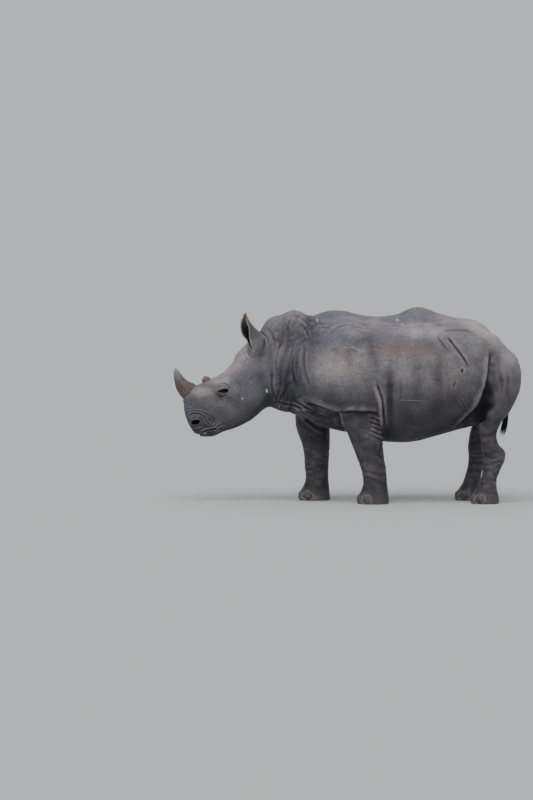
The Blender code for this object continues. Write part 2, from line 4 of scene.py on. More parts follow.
import bpy
import numpy as np
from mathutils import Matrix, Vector
from mathutils.bvhtree import BVHTree

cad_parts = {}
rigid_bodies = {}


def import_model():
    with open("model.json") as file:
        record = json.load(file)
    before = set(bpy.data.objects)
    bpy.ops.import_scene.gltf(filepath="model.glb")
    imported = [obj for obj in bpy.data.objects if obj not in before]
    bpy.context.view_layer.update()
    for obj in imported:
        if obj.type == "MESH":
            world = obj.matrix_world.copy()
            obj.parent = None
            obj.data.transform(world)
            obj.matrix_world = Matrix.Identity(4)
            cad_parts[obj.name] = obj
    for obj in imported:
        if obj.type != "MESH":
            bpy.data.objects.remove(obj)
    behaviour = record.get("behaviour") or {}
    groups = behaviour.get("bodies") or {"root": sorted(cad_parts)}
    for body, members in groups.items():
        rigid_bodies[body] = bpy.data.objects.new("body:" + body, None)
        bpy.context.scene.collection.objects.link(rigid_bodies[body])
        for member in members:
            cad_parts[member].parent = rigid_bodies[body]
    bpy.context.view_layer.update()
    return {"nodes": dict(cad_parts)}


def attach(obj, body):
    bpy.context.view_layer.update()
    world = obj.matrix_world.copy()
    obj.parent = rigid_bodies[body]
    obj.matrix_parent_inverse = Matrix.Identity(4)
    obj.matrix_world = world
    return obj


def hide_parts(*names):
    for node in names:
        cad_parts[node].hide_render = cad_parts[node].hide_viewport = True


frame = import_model()
bpy.ops.object.select_all(action="DESELECT")

# ---------------------------------------------------------------- the hide: one closed skin
# In life one unbroken hide, two to five centimetres thick, over head, neck, trunk, tail and legs.
# The solids are fused into a close even mesh, and it is smoothed as deep flesh rounds the skin over it.

LEFT, RIGHT = -1, 1
FLESH = ["trunk", "neck", "head", "tail"]
FLESH += ["leg_fore_left", "leg_fore_right", "leg_hind_left", "leg_hind_right"]
BEDDED = [name for name in frame["nodes"] if name.startswith(("eye_", "nail_"))]  # these fill their sockets
HIDE_GRAIN = 0.006  # edge length of the close mesh
SKIN_OVER_CUTS = 0.001  # the solids swell by this, which closes the thin cuts between them
SOCKETS = [  # place and radius of the plugs that fill the sockets of horns and ears
    ((-1.235, 0.0, 0.885), 0.054),
    ((-1.125, 0.0, 0.935), 0.033),
    ((-0.722, -0.132, 1.230), 0.058),
    ((-0.722, 0.132, 1.230), 0.058),
]


def pick(piece):
    """Selects one piece alone and makes it the active one."""
    bpy.ops.object.select_all(action="DESELECT")
    piece.select_set(True)
    bpy.context.view_layer.objects.active = piece


def merge_corners():
    """Joins the loose triangles of the active piece, a copy of solids, where their corners meet."""
    bpy.ops.object.mode_set(mode="EDIT")
    bpy.ops.mesh.select_all(action="SELECT")
    bpy.ops.mesh.remove_doubles(threshold=0.00001)
    bpy.ops.object.mode_set(mode="OBJECT")


def weave(piece, edge):
    """Makes a piece anew as one closed even mesh with about this length of edge."""
    closer = piece.modifiers.new("close_mesh", "REMESH")
    closer.mode = "VOXEL"
    closer.voxel_size = edge
    bpy.ops.object.modifier_apply(modifier=closer.name)


for name in FLESH + BEDDED:
    frame["nodes"][name].select_set(True)
bpy.context.view_layer.objects.active = frame["nodes"]["trunk"]
bpy.ops.object.duplicate()
bpy.ops.object.join()
hide = bpy.context.active_object
bpy.ops.object.parent_clear(type="CLEAR_KEEP_TRANSFORM")
for place, radius in SOCKETS:
    bpy.ops.mesh.primitive_uv_sphere_add(segments=32, ring_count=16, radius=radius, location=place)
    hide.select_set(True)
    bpy.context.view_layer.objects.active = hide
    bpy.ops.object.join()
hide.name = hide.data.name = "hide"
merge_corners()
swell = hide.modifiers.new("swell", "DISPLACE")
swell.strength = SKIN_OVER_CUTS
swell.mid_level = 0.0
bpy.ops.object.modifier_apply(modifier=swell.name)
weave(hide, HIDE_GRAIN)


def places(mesh):
    """Every vertex's place, one row each."""
    flat = np.empty(len(mesh.vertices) * 3, np.float32)
    mesh.vertices.foreach_get("co", flat)
    return flat.reshape(-1, 3).astype(np.float64)


def outwards(mesh):
    """Every vertex's normal, one row each."""
    flat = np.empty(len(mesh.vertices) * 3, np.float32)
    mesh.vertex_normals.foreach_get("vector", flat)
    return flat.reshape(-1, 3).astype(np.float64)


def put_back(mesh, spots):
    """Moves every vertex to its new place."""
    mesh.vertices.foreach_set("co", spots.astype(np.float32).ravel())
    mesh.update()


def ramp(values, start, end):
    """0 before start and 1 past end, with an even curve between."""
    t = np.clip((values - start) / (end - start), 0.0, 1.0)
    return t * t * (3 - 2 * t)


def soften(piece, passes, shares=None):
    """Smooths a piece, everywhere or by a share for each vertex."""
    relax = piece.modifiers.new("relax", "SMOOTH")
    relax.factor = 0.5
    relax.iterations = passes
    if shares is not None:
        group = piece.vertex_groups.new(name="share")
        for step in np.linspace(0.0, 1.0, 21):
            near = np.flatnonzero(np.abs(shares - step) <= 0.025)
            group.add(near.tolist(), float(step), "REPLACE")
        relax.vertex_group = group.name
    bpy.ops.object.modifier_apply(modifier=relax.name)
    piece.vertex_groups.clear()


BODY_PASSES = 130  # each takes the skin a little deeper over the muscle masses
spots = places(hide.data)
x, y, z = spots.T
torso = ramp(x, -0.68, -0.50) * ramp(z, 0.50, 0.75)
on_tail = ramp(x, 1.28, 1.32) * ramp(1.16 - z, 0.0, 0.1)
legs = 1 - ramp(z, 0.50, 0.75)
forehead = np.exp(-(((x + 0.83) / 0.15) ** 2) - (y / 0.15) ** 2 - ((z - 1.24) / 0.13) ** 2)
cheeks = np.exp(-(((x + 0.86) / 0.17) ** 2) - ((z - 0.92) / 0.16) ** 2)
ear_roots = np.exp(-(((x + 0.73) / 0.10) ** 2) - ((z - 1.25) / 0.10) ** 2)
legs *= ramp(x, -0.62, -0.50)
shares = np.maximum.reduce([torso, 0.40 * legs, forehead, 0.7 * cheeks, 0.5 * ear_roots])
shares = np.maximum(shares, 0.2)
shares *= 1 - 0.95 * on_tail
soften(hide, BODY_PASSES, shares)
once = places(hide.data)
soften(hide, BODY_PASSES, shares)
twice = places(hide.data)
put_back(hide.data, 2 * once - twice)  # the second smoothing measures what the first took off
soften(hide, 3)


def divide_faces(chosen):
    """Divides the hide's faces in four where a test of their middles' x, y and z holds."""
    bpy.ops.object.mode_set(mode="EDIT")
    bpy.ops.mesh.select_all(action="DESELECT")
    bpy.ops.object.mode_set(mode="OBJECT")
    middles = np.empty(len(hide.data.polygons) * 3, np.float32)
    hide.data.polygons.foreach_get("center", middles)
    hide.data.polygons.foreach_set("select", chosen(*middles.reshape(-1, 3).T))
    bpy.ops.object.mode_set(mode="EDIT")
    bpy.ops.mesh.select_mode(type="FACE")
    bpy.ops.mesh.subdivide(number_cuts=1, smoothness=0)
    bpy.ops.object.mode_set(mode="OBJECT")


divide_faces(lambda x, y, z: (x < -0.60) & (z < 1.45))  # the head carries finer folds than the body

# ---------------------------------------------------------------- the hide: its folds
# Thick hide doesn't stretch: it hangs in deep folds where limbs and neck bend, and wrinkles round them.
# Each fold is a line laid on the skin, pressed in with its two lips raised, as a modeller does in clay.


def grain(spots, size, seed):
    """Smooth random values from -1 to 1 that change over about size metres, one for each spot."""
    scaled = spots / size + seed * 17.31
    cell = np.floor(scaled).astype(np.int64)
    part = scaled - cell
    part = part * part * (3 - 2 * part)
    total = np.zeros(len(spots))
    for corner in range(8):
        step = np.array([corner & 1, corner >> 1 & 1, corner >> 2 & 1])
        a, b, c = (cell + step).T
        mixed = (a * 73856093 ^ b * 19349663 ^ c * 83492791 ^ seed * 26544357) & 0x7FFFFFFF
        mixed = (mixed ^ mixed >> 13) * 1274126177 & 0x7FFFFFFF
        value = (mixed >> 7 & 0xFFFF) / 32767.5 - 1
        total += np.prod(np.where(step == 1, part, 1 - part), axis=1) * value
    return total


def smooth_line(points, step):
    """Points about a step apart on a smooth curve through the given ones."""
    points = np.array(points, float)
    ahead = np.vstack([2 * points[0] - points[1], points, 2 * points[-1] - points[-2]])
    made = [points[:1]]
    for i in range(len(points) - 1):
        p0, p1, p2, p3 = ahead[i : i + 4]
        count = max(int(np.linalg.norm(p2 - p1) / step), 1)
        t = (np.arange(1, count + 1) / count)[:, None]
        bend = (2 * p0 - 5 * p1 + 4 * p2 - p3) * t**2 + (3 * p1 - p0 - 3 * p2 + p3) * t**3
        made.append(0.5 * (2 * p1 + (p2 - p0) * t + bend))
    return np.vstack(made)


LINE_STEP = 0.008  # metres between the points of a fold's line
FAR_STEPS = {  # how far the right legs are ahead of the left ones: height, distance
    "fore": ([0.55, 0.75, 0.87, 1.06, 1.30], [-0.440, -0.365, -0.200, -0.080, 0.0]),
    "hind": ([0.20, 0.45, 0.55, 0.64, 0.74, 0.85], [-0.108, -0.088, -0.068, -0.040, -0.012, 0.0]),
}


def surface_of(piece):
    """A piece's surface, to find the places on it that lie nearest or along a way."""
    return BVHTree.FromObject(piece, bpy.context.evaluated_depsgraph_get())


def read_skin():
    """Reads the hide's places and normals, as every tool below works on them."""
    global spots, normals
    spots, normals = places(hide.data), outwards(hide.data)


skin = surface_of(hide)
read_skin()


def laid(points, side, leg=None):
    """A smooth line laid on the hide: (x, z) pairs from one side, or with no side (x, y) pairs from below."""
    points = np.array(points, float)
    if side == RIGHT and leg:
        points[:, 0] += np.interp(points[:, 1], *FAR_STEPS[leg])
    spots_on, facing = [], []
    for x, other in smooth_line(points, LINE_STEP):
        start, way = ((x, side, other), (0, -side, 0)) if side else ((x, other, -1), (0, 0, 1))
        place, normal, _, _ = skin.ray_cast(Vector(start), Vector(way))
        if place is not None:
            spots_on.append(place)
            facing.append(normal)
    return np.array(spots_on), np.array(facing)


def beside(line, facing, side, reach):
    """The vertices within reach of a line: which, how far along as a share, how far off above (or behind)
    and below it, and the direction across it."""
    low, high = line.min(axis=0) - reach, line.max(axis=0) + reach
    near = np.flatnonzero(np.all((spots > low) & (spots < high), axis=1))
    start, run = line[:-1], np.diff(line, axis=0)
    length = np.linalg.norm(run, axis=1)
    best = np.full(len(near), np.inf)
    share, off, across = np.zeros(len(near)), np.zeros(len(near)), np.zeros((len(near), 3))
    done = np.concatenate([[0.0], np.cumsum(length)])
    for i in range(len(start)):
        t = np.clip((spots[near] - start[i]) @ run[i] / length[i] ** 2, 0, 1)
        away = spots[near] - (start[i] + t[:, None] * run[i])
        distance = np.linalg.norm(away, axis=1)
        closer = distance < best
        best[closer] = distance[closer]
        sideways = side * np.cross(run[i] / length[i], facing[i])
        sideways /= np.linalg.norm(sideways)
        share[closer] = (done[i] + t[closer] * length[i]) / done[-1]
        off[closer] = (np.sign(away @ sideways) * distance)[closer]
        across[closer] = sideways
    inside = (best < reach) & (normals[near] @ facing.mean(axis=0) > -0.2)
    return near[inside], share[inside], off[inside], across[inside]


def fold(points, depth, width, above=0.0, below=0.0, reach=0.05, pinch=0.3, ends=0.2, drop=0.0, fall=0.1,
         sides=(LEFT, RIGHT), leg=None):
    """Presses a line of the given depth and width into the hide, and raises the lips above (or behind) and
    below (or before) it, each to a height, within reach. pinch draws both lips towards the line. drop sets
    back the hide behind the line, or before it if negative, within fall, and the other lip overhangs it."""
    for side in sides:
        line, facing = laid(points, side, leg)
        within = max(2 * reach, 2 * fall if drop else 0) + width
        near, share, off, across = beside(line, facing, side or 1, within)
        fade = ramp(share, 0.0, ends) * ramp(share, 1.0, 1.0 - ends)
        fade *= 0.85 + 0.4 * grain(spots[near], 0.055, 70)  # no fold is even along its length
        move = -depth * np.exp(-((off / width) ** 2))
        for height, out in ((above, off), (below, -off)):
            move += height * np.exp(-(((out - 0.45 * reach) / (0.32 * reach)) ** 2)) * (out > -width)
        behind = off * math.copysign(1.0, drop)
        move -= abs(drop) * np.exp(-((behind / fall) ** 2)) * ramp(behind, -0.4 * width, 0.4 * width)
        spots[near] += (fade * move)[:, None] * normals[near]
        pull = pinch * off * np.exp(-((off / (2.5 * width)) ** 2)) * fade
        spots[near] -= pull[:, None] * across


def patch(centre, radii, sides=(LEFT, RIGHT), leg=None, turn=0.0, edge=1.0):
    """How much an oval patch covers each vertex, from 1 in its middle to 0: centre and radii as x, y, z. Its
    rim is steeper with a greater edge."""
    total = np.zeros(len(spots))
    c, s = math.cos(math.radians(turn)), math.sin(math.radians(turn))
    for side in sides:
        x, y, z = centre
        if side == RIGHT and leg:
            x += np.interp(z, *FAR_STEPS[leg])
        dx, dy, dz = (spots - (x, side * y, z)).T
        along, up = dx * c + dz * s, dz * c - dx * s
        total += np.exp(-(((along / radii[0]) ** 2 + (dy / radii[1]) ** 2 + (up / radii[2]) ** 2) ** edge))
    return np.minimum(total, 1.0)


def press(centre, radii, amount, way=None, **place):
    """Raises a soft oval patch of the hide, or sinks it, along its own normals or along a way."""
    strength = amount * patch(centre, radii, **place)
    direction = normals
    if way is not None:
        direction = np.tile(np.array(way, float), (len(spots), 1))
        direction[:, 1] *= np.sign(spots[:, 1])
    spots[:] += strength[:, None] * direction


def wrinkle(where, angle, spacing, depth, seed, long=6.0, fine=0.22):
    """Presses a net of wrinkles into the hide, by a share for each vertex. They run at an angle up from
    the horizontal in side view, spacing apart."""
    near = np.flatnonzero(where > 0.02)
    c, s = math.cos(math.radians(angle)), math.sin(math.radians(angle))
    x, y, z = spots[near].T
    wander = spacing * 1.4 * np.stack([grain(spots[near], spacing * 5, seed + k) for k in (50, 51)], axis=1)
    along, up = x * c + z * s + wander[:, 0], z * c - x * s + wander[:, 1]
    lined = np.stack([along / long, y / long, up], axis=1)
    value = grain(lined, spacing, seed)
    crease = np.exp(-((value / fine) ** 2)) - 0.35 * (np.abs(value) > 0.35) * (np.abs(value) - 0.35)
    uneven = 0.45 + 0.55 * ramp(grain(spots[near], spacing * 6, seed + 60), -0.7, 0.5)
    spots[near] -= (depth * where[near] * uneven * crease)[:, None] * normals[near]


def settle_skin(passes):
    """Puts the moved vertices into the hide, smooths them a little and reads back the new form."""
    put_back(hide.data, spots)
    if passes:
        soften(hide, passes)
    read_skin()


# Broad forms first: the hollow before the thigh, the shoulder, the ribs and the hip.
press((1.003, 0.30, 0.684), (0.058, 0.17, 0.14), -0.080, leg="hind", turn=-35)
press((1.083, 0.28, 0.848), (0.038, 0.14, 0.12), -0.036, turn=-26)
press((0.90, 0.40, 0.93), (0.12, 0.10, 0.24), 0.016, turn=-10)
press((0.060, 0.36, 0.900), (0.20, 0.10, 0.14), 0.026, leg="fore")
press((-0.06, 0.30, 1.20), (0.14, 0.12, 0.20), 0.016)
press((0.215, 0.34, 1.19), (0.050, 0.14, 0.16), -0.020, turn=12)
press((-0.27, 0.28, 1.16), (0.075, 0.14, 0.26), -0.022)
press((0.33, 0.36, 0.80), (0.035, 0.14, 0.22), -0.022)
press((1.17, 0.28, 1.06), (0.12, 0.14, 0.18), 0.012)
press((1.00, 0.20, 1.420), (0.12, 0.07, 0.035), 0.012, turn=-18)
press((-0.30, 0.10, 1.50), (0.05, 0.10, 0.07), -0.014)
press((0.10, 0.22, 0.640), (0.14, 0.10, 0.12), -0.020, leg="fore")
press((-0.610, 0.0, 1.455), (0.085, 0.12, 0.060), 0.026, way=(-0.5, 0, 0.85), sides=(LEFT,))
press((-1.285, 0.0, 0.770), (0.040, 0.16, 0.090), 0.014, way=(-1, 0, 0), sides=(LEFT,))
press((-0.525, 0.0, 0.770), (0.075, 0.12, 0.060), 0.030, way=(0.1, 0, -1), sides=(LEFT,))
press((-0.420, 0.0, 0.660), (0.060, 0.16, 0.090), 0.026, way=(-0.9, 0, -0.3), sides=(LEFT,))
settle_skin(4)
press((1.275, 0.25, 0.465), (0.045, 0.15, 0.040), -0.012, leg="hind")  # the point of the hock
press((1.270, 0.25, 0.360), (0.050, 0.15, 0.050), 0.008, leg="hind")
settle_skin(0)
soften(hide, 30, patch((1.265, 0.25, 0.440), (0.09, 0.2, 0.12), leg="hind"))
read_skin()

# The flank fold, which hangs free before the thigh, and the skirt of hide over the elbow.
FLANK_FOLD = [(1.126, 1.270), (1.139, 1.211), (1.130, 1.106), (1.118, 0.993), (1.095, 0.899), (1.055, 0.814),
              (0.998, 0.735), (0.930, 0.665), (0.870, 0.600)]
SKIRT_FOLD = [(-0.347, 0.818), (-0.216, 0.781), (-0.073, 0.742), (0.072, 0.748), (0.211, 0.738),
              (0.266, 0.712)]
ELBOW_FOLD = [(0.219, 0.990), (0.237, 0.955), (0.277, 0.834), (0.292, 0.676), (0.296, 0.60)]
fold(FLANK_FOLD, 0.034, 0.014, above=0.0, below=0.014, reach=0.07, ends=0.18, drop=0.040, fall=0.10)
fold([(1.124, 1.040), (1.100, 0.920), (1.060, 0.822), (1.000, 0.738), (0.932, 0.668), (0.880, 0.610)],
     0.022, 0.016, below=0.010, reach=0.06, ends=0.3, drop=0.030, fall=0.09)
fold([(1.112, 0.98), (1.098, 0.88), (1.088, 0.79), (1.070, 0.70), (1.045, 0.62)], 0.020, 0.018, above=0.014,
     reach=0.05, ends=0.4)
fold(SKIRT_FOLD, 0.030, 0.013, above=0.026, reach=0.08, ends=0.15, drop=-0.028, fall=0.12, leg="fore")
fold(ELBOW_FOLD, 0.034, 0.012, above=0.004, below=0.014, reach=0.05, drop=0.010, leg="fore")
# The line where the foreleg comes forward out of the breast, and the folds from throat to breast.
fold([(-0.088, 0.745), (-0.066, 0.690), (-0.040, 0.620), (-0.012, 0.560)], 0.018, 0.012, above=0.014,
     reach=0.05, drop=-0.030, fall=0.09, leg="fore")
fold([(-0.588, 0.822), (-0.520, 0.806), (-0.440, 0.790), (-0.35, 0.758)],
     0.024, 0.013, above=0.010, below=0.008, reach=0.045)
fold([(-0.520, 0.765), (-0.440, 0.742), (-0.393, 0.712), (-0.347, 0.669), (-0.245, 0.596), (-0.151, 0.560)],
     0.026, 0.013, above=0.012, below=0.008, reach=0.045, ends=0.25)
fold([(-0.450, 0.850), (-0.36, 0.790), (-0.28, 0.745), (-0.18, 0.705), (-0.10, 0.690)],
     0.018, 0.011, above=0.010, below=0.004, reach=0.04, ends=0.3)
fold([(-0.40, 0.765), (-0.33, 0.712), (-0.24, 0.668), (-0.14, 0.640)],
     0.016, 0.011, above=0.008, reach=0.035, ends=0.3)
fold([(-0.335, 0.705), (-0.26, 0.645), (-0.18, 0.610), (-0.11, 0.600)],
     0.014, 0.011, above=0.007, reach=0.035, ends=0.3)
# Creases of the hip, the croup and the thigh.
HIP_FOLD = [(0.791, 1.358), (0.842, 1.294), (0.894, 1.223), (0.946, 1.145), (0.966, 1.081)]
fold(HIP_FOLD, 0.016, 0.011, above=0.007, below=0.004, reach=0.04)
fold([(0.701, 1.377), (0.753, 1.304), (0.816, 1.223)], 0.008, 0.012, above=0.005, reach=0.04, ends=0.35)
RAISED_LINES = [
    [(0.686, 1.400), (0.834, 1.415), (0.970, 1.404), (1.055, 1.368), (1.140, 1.312), (1.195, 1.250)],
    [(0.390, 1.415), (0.554, 1.448), (0.686, 1.452), (0.838, 1.470)],
    [(-0.150, 1.405), (-0.090, 1.432), (-0.021, 1.450), (0.073, 1.443), (0.178, 1.402)],
    [(-0.170, 1.246), (-0.057, 1.254), (0.050, 1.252), (0.125, 1.218)],
]
fold(RAISED_LINES[0], -0.008, 0.020, below=-0.006, reach=0.05, ends=0.3)
fold(RAISED_LINES[1], -0.004, 0.014, ends=0.3)
fold([(1.215, 1.330), (1.228, 1.260), (1.222, 1.190)], 0.007, 0.010, above=0.004, reach=0.03, ends=0.35)
fold([(1.270, 1.100), (1.290, 1.040), (1.296, 0.960)], 0.006, 0.010, above=0.003, reach=0.03, ends=0.35)
fold([(1.20, 1.12), (1.235, 1.03), (1.240, 0.93), (1.215, 0.84)],
     0.006, 0.014, above=0.004, reach=0.04, ends=0.35)
# Raised lines over the shoulder blade, and the folds behind the hump of the nape.
fold(RAISED_LINES[2], -0.008, 0.012, below=-0.004, reach=0.03, ends=0.3)
fold(RAISED_LINES[3], -0.009, 0.012, below=-0.005, reach=0.03, ends=0.25)
fold([(-0.425, 1.525), (-0.345, 1.480), (-0.262, 1.412)],
     0.012, 0.016, above=0.006, below=0.006, reach=0.04, ends=0.35)
fold([(-0.395, 1.470), (-0.330, 1.400), (-0.300, 1.320)],
     0.010, 0.016, above=0.005, below=0.005, reach=0.04, ends=0.35)
fold([(-0.335, 1.290), (-0.350, 1.190), (-0.345, 1.080), (-0.315, 0.980), (-0.28, 0.90)],
     0.014, 0.020, above=0.006, below=0.006, reach=0.05, ends=0.3)
fold([(-0.430, 1.220), (-0.445, 1.120), (-0.430, 1.010), (-0.395, 0.920)],
     0.010, 0.016, above=0.005, below=0.004, reach=0.04, ends=0.35)
# Creases round the joints of the legs.
for low, tilt in ((0.700, -0.20), (0.664, -0.28), (0.630, -0.32), (0.594, -0.34), (0.556, -0.30)):
    fold([(0.130, low + 0.030), (0.200, low), (0.290, low + tilt * 0.13)],
         0.010, 0.008, above=0.006, reach=0.026, ends=0.3, leg="fore")
settle_skin(1)

wrinkle(patch((-0.47, 0.2, 1.10), (0.17, 0.3, 0.42)), 78, 0.034, 0.006, 3)
wrinkle(patch((-0.52, 0.2, 0.86), (0.16, 0.3, 0.14)), 70, 0.030, 0.006, 4)
wrinkle(patch((-0.22, 0.25, 0.72), (0.20, 0.3, 0.12)), -28, 0.032, 0.007, 5)
wrinkle(patch((0.18, 0.3, 0.64), (0.10, 0.3, 0.13), leg="fore"), -20, 0.026, 0.005, 6)
wrinkle(patch((0.21, 0.25, 0.26), (0.16, 0.25, 0.13), leg="fore"), 0, 0.026, 0.005, 7)
wrinkle(patch((1.10, 0.25, 0.62), (0.10, 0.3, 0.12), leg="hind"), 8, 0.026, 0.005, 8)
wrinkle(patch((1.15, 0.2, 0.30), (0.14, 0.25, 0.16), leg="hind"), 0, 0.024, 0.005, 9)
wrinkle(patch((0.40, 0.3, 1.20), (0.80, 0.4, 0.40)), 2, 0.032, 0.0024, 10, long=4)
wrinkle(patch((0.40, 0.2, 1.45), (0.70, 0.4, 0.16)), 4, 0.026, 0.0026, 13, long=5)
wrinkle(patch((-0.10, 0.3, 1.42), (0.40, 0.4, 0.14)), -4, 0.034, 0.004, 11)
wrinkle(patch((-0.38, 0.2, 1.42), (0.20, 0.4, 0.16)), 48, 0.026, 0.0045, 14, long=3.5)
wrinkle(patch((-0.40, 0.2, 1.38), (0.24, 0.4, 0.20)), -52, 0.030, 0.0030, 15, long=3.5)
wrinkle(patch((-0.15, 0.3, 1.25), (0.22, 0.4, 0.14)), -65, 0.026, 0.0022, 16, long=3)
wrinkle(patch((0.95, 0.3, 0.80), (0.12, 0.3, 0.20)), -60, 0.030, 0.003, 12)
wrinkle(patch((0.50, 0.3, 0.85), (0.50, 0.5, 0.30)), 84, 0.036, 0.0018, 17, long=3)
wrinkle(patch((1.20, 0.3, 1.00), (0.16, 0.4, 0.30)), 70, 0.030, 0.0020, 18, long=3)
wrinkle(patch((0.20, 0.25, 0.40), (0.20, 0.25, 0.34), leg="fore", edge=3), 4, 0.022, 0.0026, 19, long=1.8)
wrinkle(patch((1.15, 0.25, 0.36), (0.22, 0.25, 0.36), leg="hind", edge=3), 2, 0.022, 0.0026, 20, long=1.8)
for bed, amount in ((0.335, -0.010), (0.560, -0.006), (0.725, -0.006), (0.450, 0.004), (0.640, 0.004)):
    press((bed, 0.40, 0.96), (0.030, 0.16, 0.20), amount)  # between and over the ribs

# The face: nostrils with folded wings, a wide square upper lip, the mouth and the wrinkles at its corner.
NOSTRIL = (-1.2245, 0.112, 0.652)
press(NOSTRIL, (0.075, 0.07, 0.050), 0.010, turn=18, edge=1.6)
press(NOSTRIL, (0.043, 0.09, 0.026), -0.016, way=(0.35, -0.9, 0.1), turn=18, edge=2.5)
for points, depth in (
    ([(-1.298, 0.664), (-1.276, 0.704), (-1.232, 0.722), (-1.180, 0.712), (-1.148, 0.690), (-1.135, 0.660)],
     0.0065),
    ([(-1.306, 0.704), (-1.268, 0.736), (-1.215, 0.742), (-1.150, 0.722), (-1.100, 0.690)], 0.0050),
    ([(-1.318, 0.732), (-1.285, 0.752), (-1.240, 0.760)], 0.0050),
    ([(-1.200, 0.776), (-1.150, 0.762), (-1.090, 0.742), (-1.040, 0.730)], 0.0022),
    ([(-1.318, 0.775), (-1.285, 0.782), (-1.250, 0.800)], 0.0085),
    ([(-1.265, 0.598), (-1.225, 0.588), (-1.175, 0.602), (-1.130, 0.622)], 0.0060),
    ([(-1.150, 0.700), (-1.140, 0.664), (-1.118, 0.640), (-1.090, 0.630)], 0.0050),
):
    fold(points, depth, 0.0075, above=0.7 * depth, below=0.4 * depth, reach=0.026, ends=0.3)
fold([(-1.192, 0.528), (-1.172, 0.560), (-1.148, 0.580), (-1.108, 0.590), (-1.070, 0.598), (-1.045, 0.607)],
     0.020, 0.008, above=0.008, below=0.003, reach=0.03, ends=0.15, drop=-0.006, fall=0.05)
fold([(-1.196, -0.10), (-1.200, 0.0), (-1.196, 0.10)],
     0.022, 0.009, above=-0.006, below=0.004, reach=0.04, ends=0.1, sides=(0,))
for points in (
    [(-1.088, 0.602), (-1.058, 0.640), (-1.028, 0.668)],
    [(-1.070, 0.594), (-1.034, 0.622), (-0.990, 0.640)],
    [(-1.064, 0.582), (-1.015, 0.598), (-0.965, 0.606)],
    [(-1.110, 0.612), (-1.085, 0.652), (-1.060, 0.690)],
    [(-1.060, 0.566), (-1.000, 0.576), (-0.950, 0.586)],
):
    fold(points, 0.007, 0.006, above=0.004, below=0.002, reach=0.02, ends=0.35)
fold([(-1.100, 0.700), (-1.040, 0.738), (-0.975, 0.790), (-0.920, 0.830)],
     0.0015, 0.030, above=0.003, reach=0.07, ends=0.5)
# Round the root of the ear, and where the head meets the neck.
fold([(-0.705, 1.390), (-0.655, 1.345), (-0.632, 1.285), (-0.640, 1.215)],
     0.012, 0.010, above=0.007, below=0.005, reach=0.03)
fold([(-0.660, 1.420), (-0.605, 1.370), (-0.580, 1.300), (-0.590, 1.220)],
     0.009, 0.010, above=0.006, reach=0.03, ends=0.3)
fold([(-0.803, 1.262), (-0.800, 1.217), (-0.775, 1.180), (-0.735, 1.160)],
     0.008, 0.009, above=0.003, below=0.004, reach=0.025, ends=0.3)
fold([(-0.835, 1.225), (-0.812, 1.165), (-0.765, 1.130)], 0.005, 0.008, below=0.003, reach=0.025, ends=0.35)
fold([(-0.640, 1.130), (-0.612, 1.060), (-0.610, 0.980), (-0.600, 0.900), (-0.570, 0.840)],
     0.014, 0.020, above=0.007, below=0.004, reach=0.05, ends=0.3)
fold([(-0.780, 1.045), (-0.710, 1.040), (-0.640, 1.030)], 0.0022, 0.012, above=0.001, reach=0.03, ends=0.45)
press((-0.612, 0.2, 1.030), (0.022, 0.1, 0.018), -0.004)
wrinkle(patch((-0.95, 0.1, 0.95), (0.22, 0.3, 0.20), edge=2), -30, 0.020, 0.0016, 35, long=2.5)
wrinkle(patch((-0.80, 0.1, 0.90), (0.18, 0.3, 0.16), edge=2), 60, 0.024, 0.0014, 36, long=2.5)
wrinkle(patch((-1.22, 0.1, 0.66), (0.09, 0.2, 0.11)), 12, 0.016, 0.0025, 31, long=3)
wrinkle(patch((-1.05, 0.1, 0.60), (0.10, 0.2, 0.08)), 25, 0.018, 0.003, 32, long=3)
wrinkle(patch((-0.62, 0.2, 1.30), (0.10, 0.2, 0.14)), 65, 0.022, 0.004, 33, long=3)
wrinkle(patch((-0.58, 0.25, 1.05), (0.09, 0.3, 0.24)), 72, 0.024, 0.004, 34, long=4)
spots += (0.0035 * grain(spots, 0.16, 21) + 0.0018 * grain(spots, 0.07, 22))[:, None] * normals
settle_skin(0)


def from_solid(names, reach):
    """Each vertex's distance from the nearest of some solids, where it is within reach of them."""
    away = np.full(len(spots), 9.0)
    for name in names:
        solid = frame["nodes"][name]
        surface = surface_of(solid)
        box = np.array([solid.matrix_world @ Vector(corner) for corner in solid.bound_box])
        low, high = box.min(axis=0) - reach, box.max(axis=0) + reach
        for i in np.flatnonzero(np.all((spots > low) & (spots < high), axis=1)):
            away[i] = min(away[i], surface.find_nearest(Vector(spots[i]))[3])
    return away


# A collar of hide grows up round each horn, and a quick of skin round each nail, whose bed is sunk.
to_horn = from_solid(["horn_front", "horn_rear"], 0.03)
spots += (0.0050 * np.exp(-((to_horn / 0.013) ** 2)))[:, None] * normals
to_nail = from_solid([name for name in BEDDED if name.startswith("nail_")], 0.02)
quick = 0.0035 * np.exp(-(((to_nail - 0.011) / 0.005) ** 2)) - 0.0140 * ramp(0.007 - to_nail, 0.0, 0.005)
spots += quick[:, None] * normals
settle_skin(1)

# ---------------------------------------------------------------- the ears, one with the hide
# Curled cups of gristle under thin skin, nearly tubes at the root, with a soft rolled rim.
# Each is a sheet curled and given its wall, then united with the hide and rubbed smooth where they meet.

